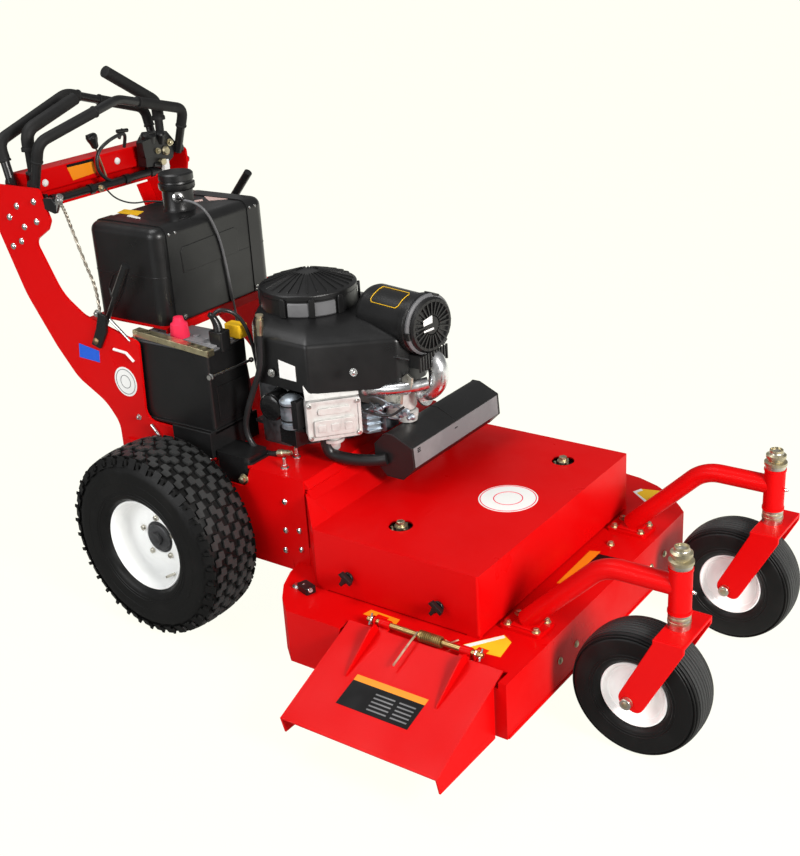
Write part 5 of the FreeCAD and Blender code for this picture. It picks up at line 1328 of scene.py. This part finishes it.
def deck_bolts():
    """Bolts, hangers and corner gussets that tie the deck and its cover to the frame."""
    gusset = Form()
    for sign in (-1, 1):
        corners = [(352, 262, 196), (423, 332, 196), (423, 262, 196), (352, 262, 374), (423, 332, 331.5),
                   (423, 262, 333)]
        a, b, c, d, e, f = [gusset.bm.verts.new((x, y * sign, z)) for x, y, z in corners]
        for face in ((a, b, c), (d, e, f), (a, b, e, d), (b, c, f, e), (c, a, d, f)):
            gusset.face(face)
        gusset.block((290, min(sign * 258, sign * 264), 170), (378, max(sign * 258, sign * 264), 236))
    for x, wide in ((534, 44), (916, 42)):
        gusset.block((x, -440, 166), (x + wide, -372, 170))
    gusset.made("deck_gussets", "red_paint", bevel=1.0)
    (Form()
     .each("hexagon", [(x, y, DECK_TOP) for x, y in ((889, -150), (889, 150), (470, -300), (470, 200),
                                                     (880, 395))], UP, 11.0, 6.0)
     .each("dome_bolt", [(966, y, z) for y, z in ((-161, 125), (-231, 124), (271, 129), (200, 129))], AHEAD,
           8.0, 5.0)
     .made("deck_bolts", "steel", BRASS, angle=50))
    Form().sweep([(965, -436, 66), (965, 372, 66)], 4.0, 12).made("deck_front_edge", "red_paint")
    (Form()
     .prism([(0, 0), (14, -16), (12, -19), (0, -19)], (350, 262, 399), AHEAD, UP, 524.0)
     .made("frame_fold", "red_paint", bevel=0.8))
    studs = Form()
    for x, y in ((268, -227), (254, -168), (268, 227), (254, 168)):
        studs.hexagon((x, y, 400), UP, 12.0, 7.0)
        studs.lathe([(7, 0), (7, 5), (24, 5), (26, 3), (26, 0)], (x, y, 400), UP, 12)
    for y in (-215, 215):
        for z in (212, 300, 372):
            studs.hexagon((-195, y, z), BACK, 13.0, 7.0)
    for y in (-48, 48):
        studs.hexagon((-195, y, 240), BACK, 11.0, 6.0)
    studs.made("frame_studs", "steel", BRIGHT)


cover_details()
deck_labels()
hinge_details()
deck_bolts()


# ---------------------------------------------------------------- casters

PIVOT_X, PIVOT_LOW, PIVOT_HIGH = 1224.0, 324.0, 419.0


def caster_details(name, sign):
    """Collars, grease fitting and bolts at one caster's pivot, and its axle bolt."""
    y = CASTER_Y * sign
    place = (PIVOT_X, y, 0)
    fork = Form()
    corners = [(38, 156, 0), (38, 140, 10), (-48, -24, 21), (-98, -2, 22), (-24, 146, 6), (-24, 156, 0)]
    leg = [(PIVOT_X + x, CASTER_R + z) for x, z in bent(corners)]
    for low in (59.0, -67.0):
        fork.prism(leg, (0, y + low + 8, 0), AHEAD, UP, 8.0)
    fork.prism([(-24, -60), (38, -60), (38, 60), (-24, 60)], (PIVOT_X, y, 284), AHEAD, LEFT, 8.0)
    fork.made("fork_" + name, "red_paint", body="caster_swivel_" + name, replaces=("caster_fork_" + name,),
              bevel=2.0)
    (Form()
     .lathe([(PIVOT_LOW, 13), (PIVOT_LOW, 23.4), (PIVOT_LOW + 5, 23.4), (PIVOT_LOW + 5, 13)], place, UP, 40,
            True)
     .lathe([(PIVOT_HIGH - 5, 13), (PIVOT_HIGH - 5, 23.4), (PIVOT_HIGH - 0.6, 23.4), (PIVOT_HIGH - 0.6, 13)],
            place, UP, 40, True)
     .made("pivot_bands_" + name, "red_paint", angle=40))
    (Form()
     .lathe([(293, 12), (293, 19), (297, 21), (301, 19), (303, 22.5), (308, 22.5), (310, 19), (313, 22),
             (318, 22), (321, 20), (321, 12)], place, UP, 40, True)
     .lathe([(422, 12), (422, 20), (426, 20), (428, 24), (434, 24), (437, 17), (441, 17), (444, 21),
             (450, 21), (454, 15), (461, 14), (461.8, 12)], place, UP, 40, True)
     .made("pivot_collars_" + name, "steel", BRASS, body="caster_swivel_" + name, angle=40))
    (Form()
     .lathe([(0, 0), (0, 4), (5, 4), (6, 2.6), (10, 3), (12, 0)], (PIVOT_X + 22, y, 372), (1, -0.4, 0.2), 12)
     .made("grease_fitting_" + name, "steel", BRIGHT))
    bolt = Form()
    for out in (-1, 1):
        bolt.hexagon((CASTER_AXLE_X, y + out * 67.2, CASTER_R), (0, out, 0), 15.0, 8.0)
    bolt.made("axle_bolt_" + name, "steel", BRASS, body="caster_swivel_" + name)
    (Form()
     .each("hexagon", [(x, y + dy, 198) for x, dy in ((864, -22), (864, 22), (930, -22), (930, 22))], UP,
           11.0, 6.0)
     .made("arm_bolts_" + name, "steel", BRASS))
    (Form()
     .prism([(-28, -26), (28, -26), (28, 26), (-28, 26)], (900, y, 198), AHEAD, LEFT, 4.0)
     .made("arm_weld_" + name, "red_paint", bevel=3.0))


for name, sign in SIDES:
    caster_details(name, sign)


# ---------------------------------------------------------------- stage

def floor():
    """A floor that is as pale as the photo's to the camera, and fades to the right in reflections."""
    look = Look("pale_floor", (0.86, 0.86, 0.84), 0.85)
    spot = look.node("SeparateXYZ", {"Vector": look.place})
    path = look.node("LightPath")
    seen, glossy = path.outputs["Is Camera Ray"], path.outputs["Is Glossy Ray"]
    # Painted reflection: in glossy rays the floor glows, dim towards -y and bright towards +y, to put a sheen
    # on faces that mirror it.
    shine = look.ramp(spot.outputs["Y"], -0.3, 0.9, 0.12, 1.3)
    level = look.node("Mix", {"Factor": seen, "A": shine, "B": 1.07}, data_type="FLOAT")
    glow = look.node("Emission", {"Color": (1.0, 1.0, 0.90, 1), "Strength": level.outputs["Result"]})
    scale = look.node("Math", {0: seen, 1: 0.93}, operation="MULTIPLY")
    share = look.node("Math", {0: glossy, 1: 0.85, 2: scale.outputs[0]}, operation="MULTIPLY_ADD")
    mix = look.node("MixShader", {0: share.outputs[0], 1: look.shader.outputs[0], 2: glow.outputs[0]})
    fill(look.tree, look.tree.nodes["Material Output"], {"Surface": mix.outputs[0]})
    grid = bmesh.new()
    bmesh.ops.create_grid(grid, x_segments=1, y_segments=1, size=30.0)
    mesh_object("floor", grid, look.mat)


def world():
    """A faint sky as light, and the photo's plain background to the camera."""
    scene.world = bpy.data.worlds.new("studio")
    scene.world.use_nodes = True
    tree = scene.world.node_tree
    sky = tree.nodes["Background"]
    fill(tree, sky, {"Color": (1.0, 1.0, 0.99, 1), "Strength": 0.26})
    white = add_node(tree, "Background", {"Color": (1.0, 1.0, 0.91, 1), "Strength": 1.0})
    seen = add_node(tree, "LightPath").outputs["Is Camera Ray"]
    mix = add_node(tree, "MixShader", {0: seen, 1: sky.outputs[0], 2: white.outputs[0]})
    fill(tree, tree.nodes["World Output"], {"Surface": mix.outputs[0]})


def lamps():
    """Three area lamps that face the machine."""
    for name, place, size, power, color in (
            ("key", (3.3, -1.0, 1.9), 0.9, 160.0, (1.0, 0.98, 0.95)),
            ("fill", (-0.9, -3.4, 1.8), 1.8, 58.0, (0.98, 0.99, 1.0)),
            ("top", (-1.2, -0.6, 3.6), 1.6, 48.0, (1.0, 1.0, 1.0))):
        light = bpy.data.lights.new(name, "AREA")
        light.size = size
        light.energy = power
        light.color = color
        lamp = in_scene(name, light)
        lamp.location = place
        lamp.rotation_euler = (Vector((0, 0, 0.5)) - Vector(place)).to_track_quat("-Z", "Y").to_euler()


def camera():
    """The photo's camera: its heading, drop and roll in radians, and its place in millimetres."""
    yaw, drop, roll = 2.206755, 0.403601, -0.060823
    forward = Vector((math.cos(drop) * math.cos(yaw), math.cos(drop) * math.sin(yaw), -math.sin(drop)))
    right = forward.cross(UP).normalized()
    up = right.cross(forward)
    side = right * math.cos(roll) + up * math.sin(roll)
    top = up * math.cos(roll) - right * math.sin(roll)
    data = bpy.data.cameras.new("camera")
    data.sensor_fit = "VERTICAL"
    data.sensor_height = 36.0
    data.sensor_width = 36.0
    data.lens = 53.90
    data.clip_end = 100.0
    scene.camera = in_scene("camera", data)
    turn = Matrix((side, top, -forward)).transposed().to_4x4()
    scene.camera.matrix_world = Matrix.Translation(at(2036.45, -2179.16, 1599.66)) @ turn


floor()
world()
lamps()
camera()
scene.view_settings.view_transform = "Standard"
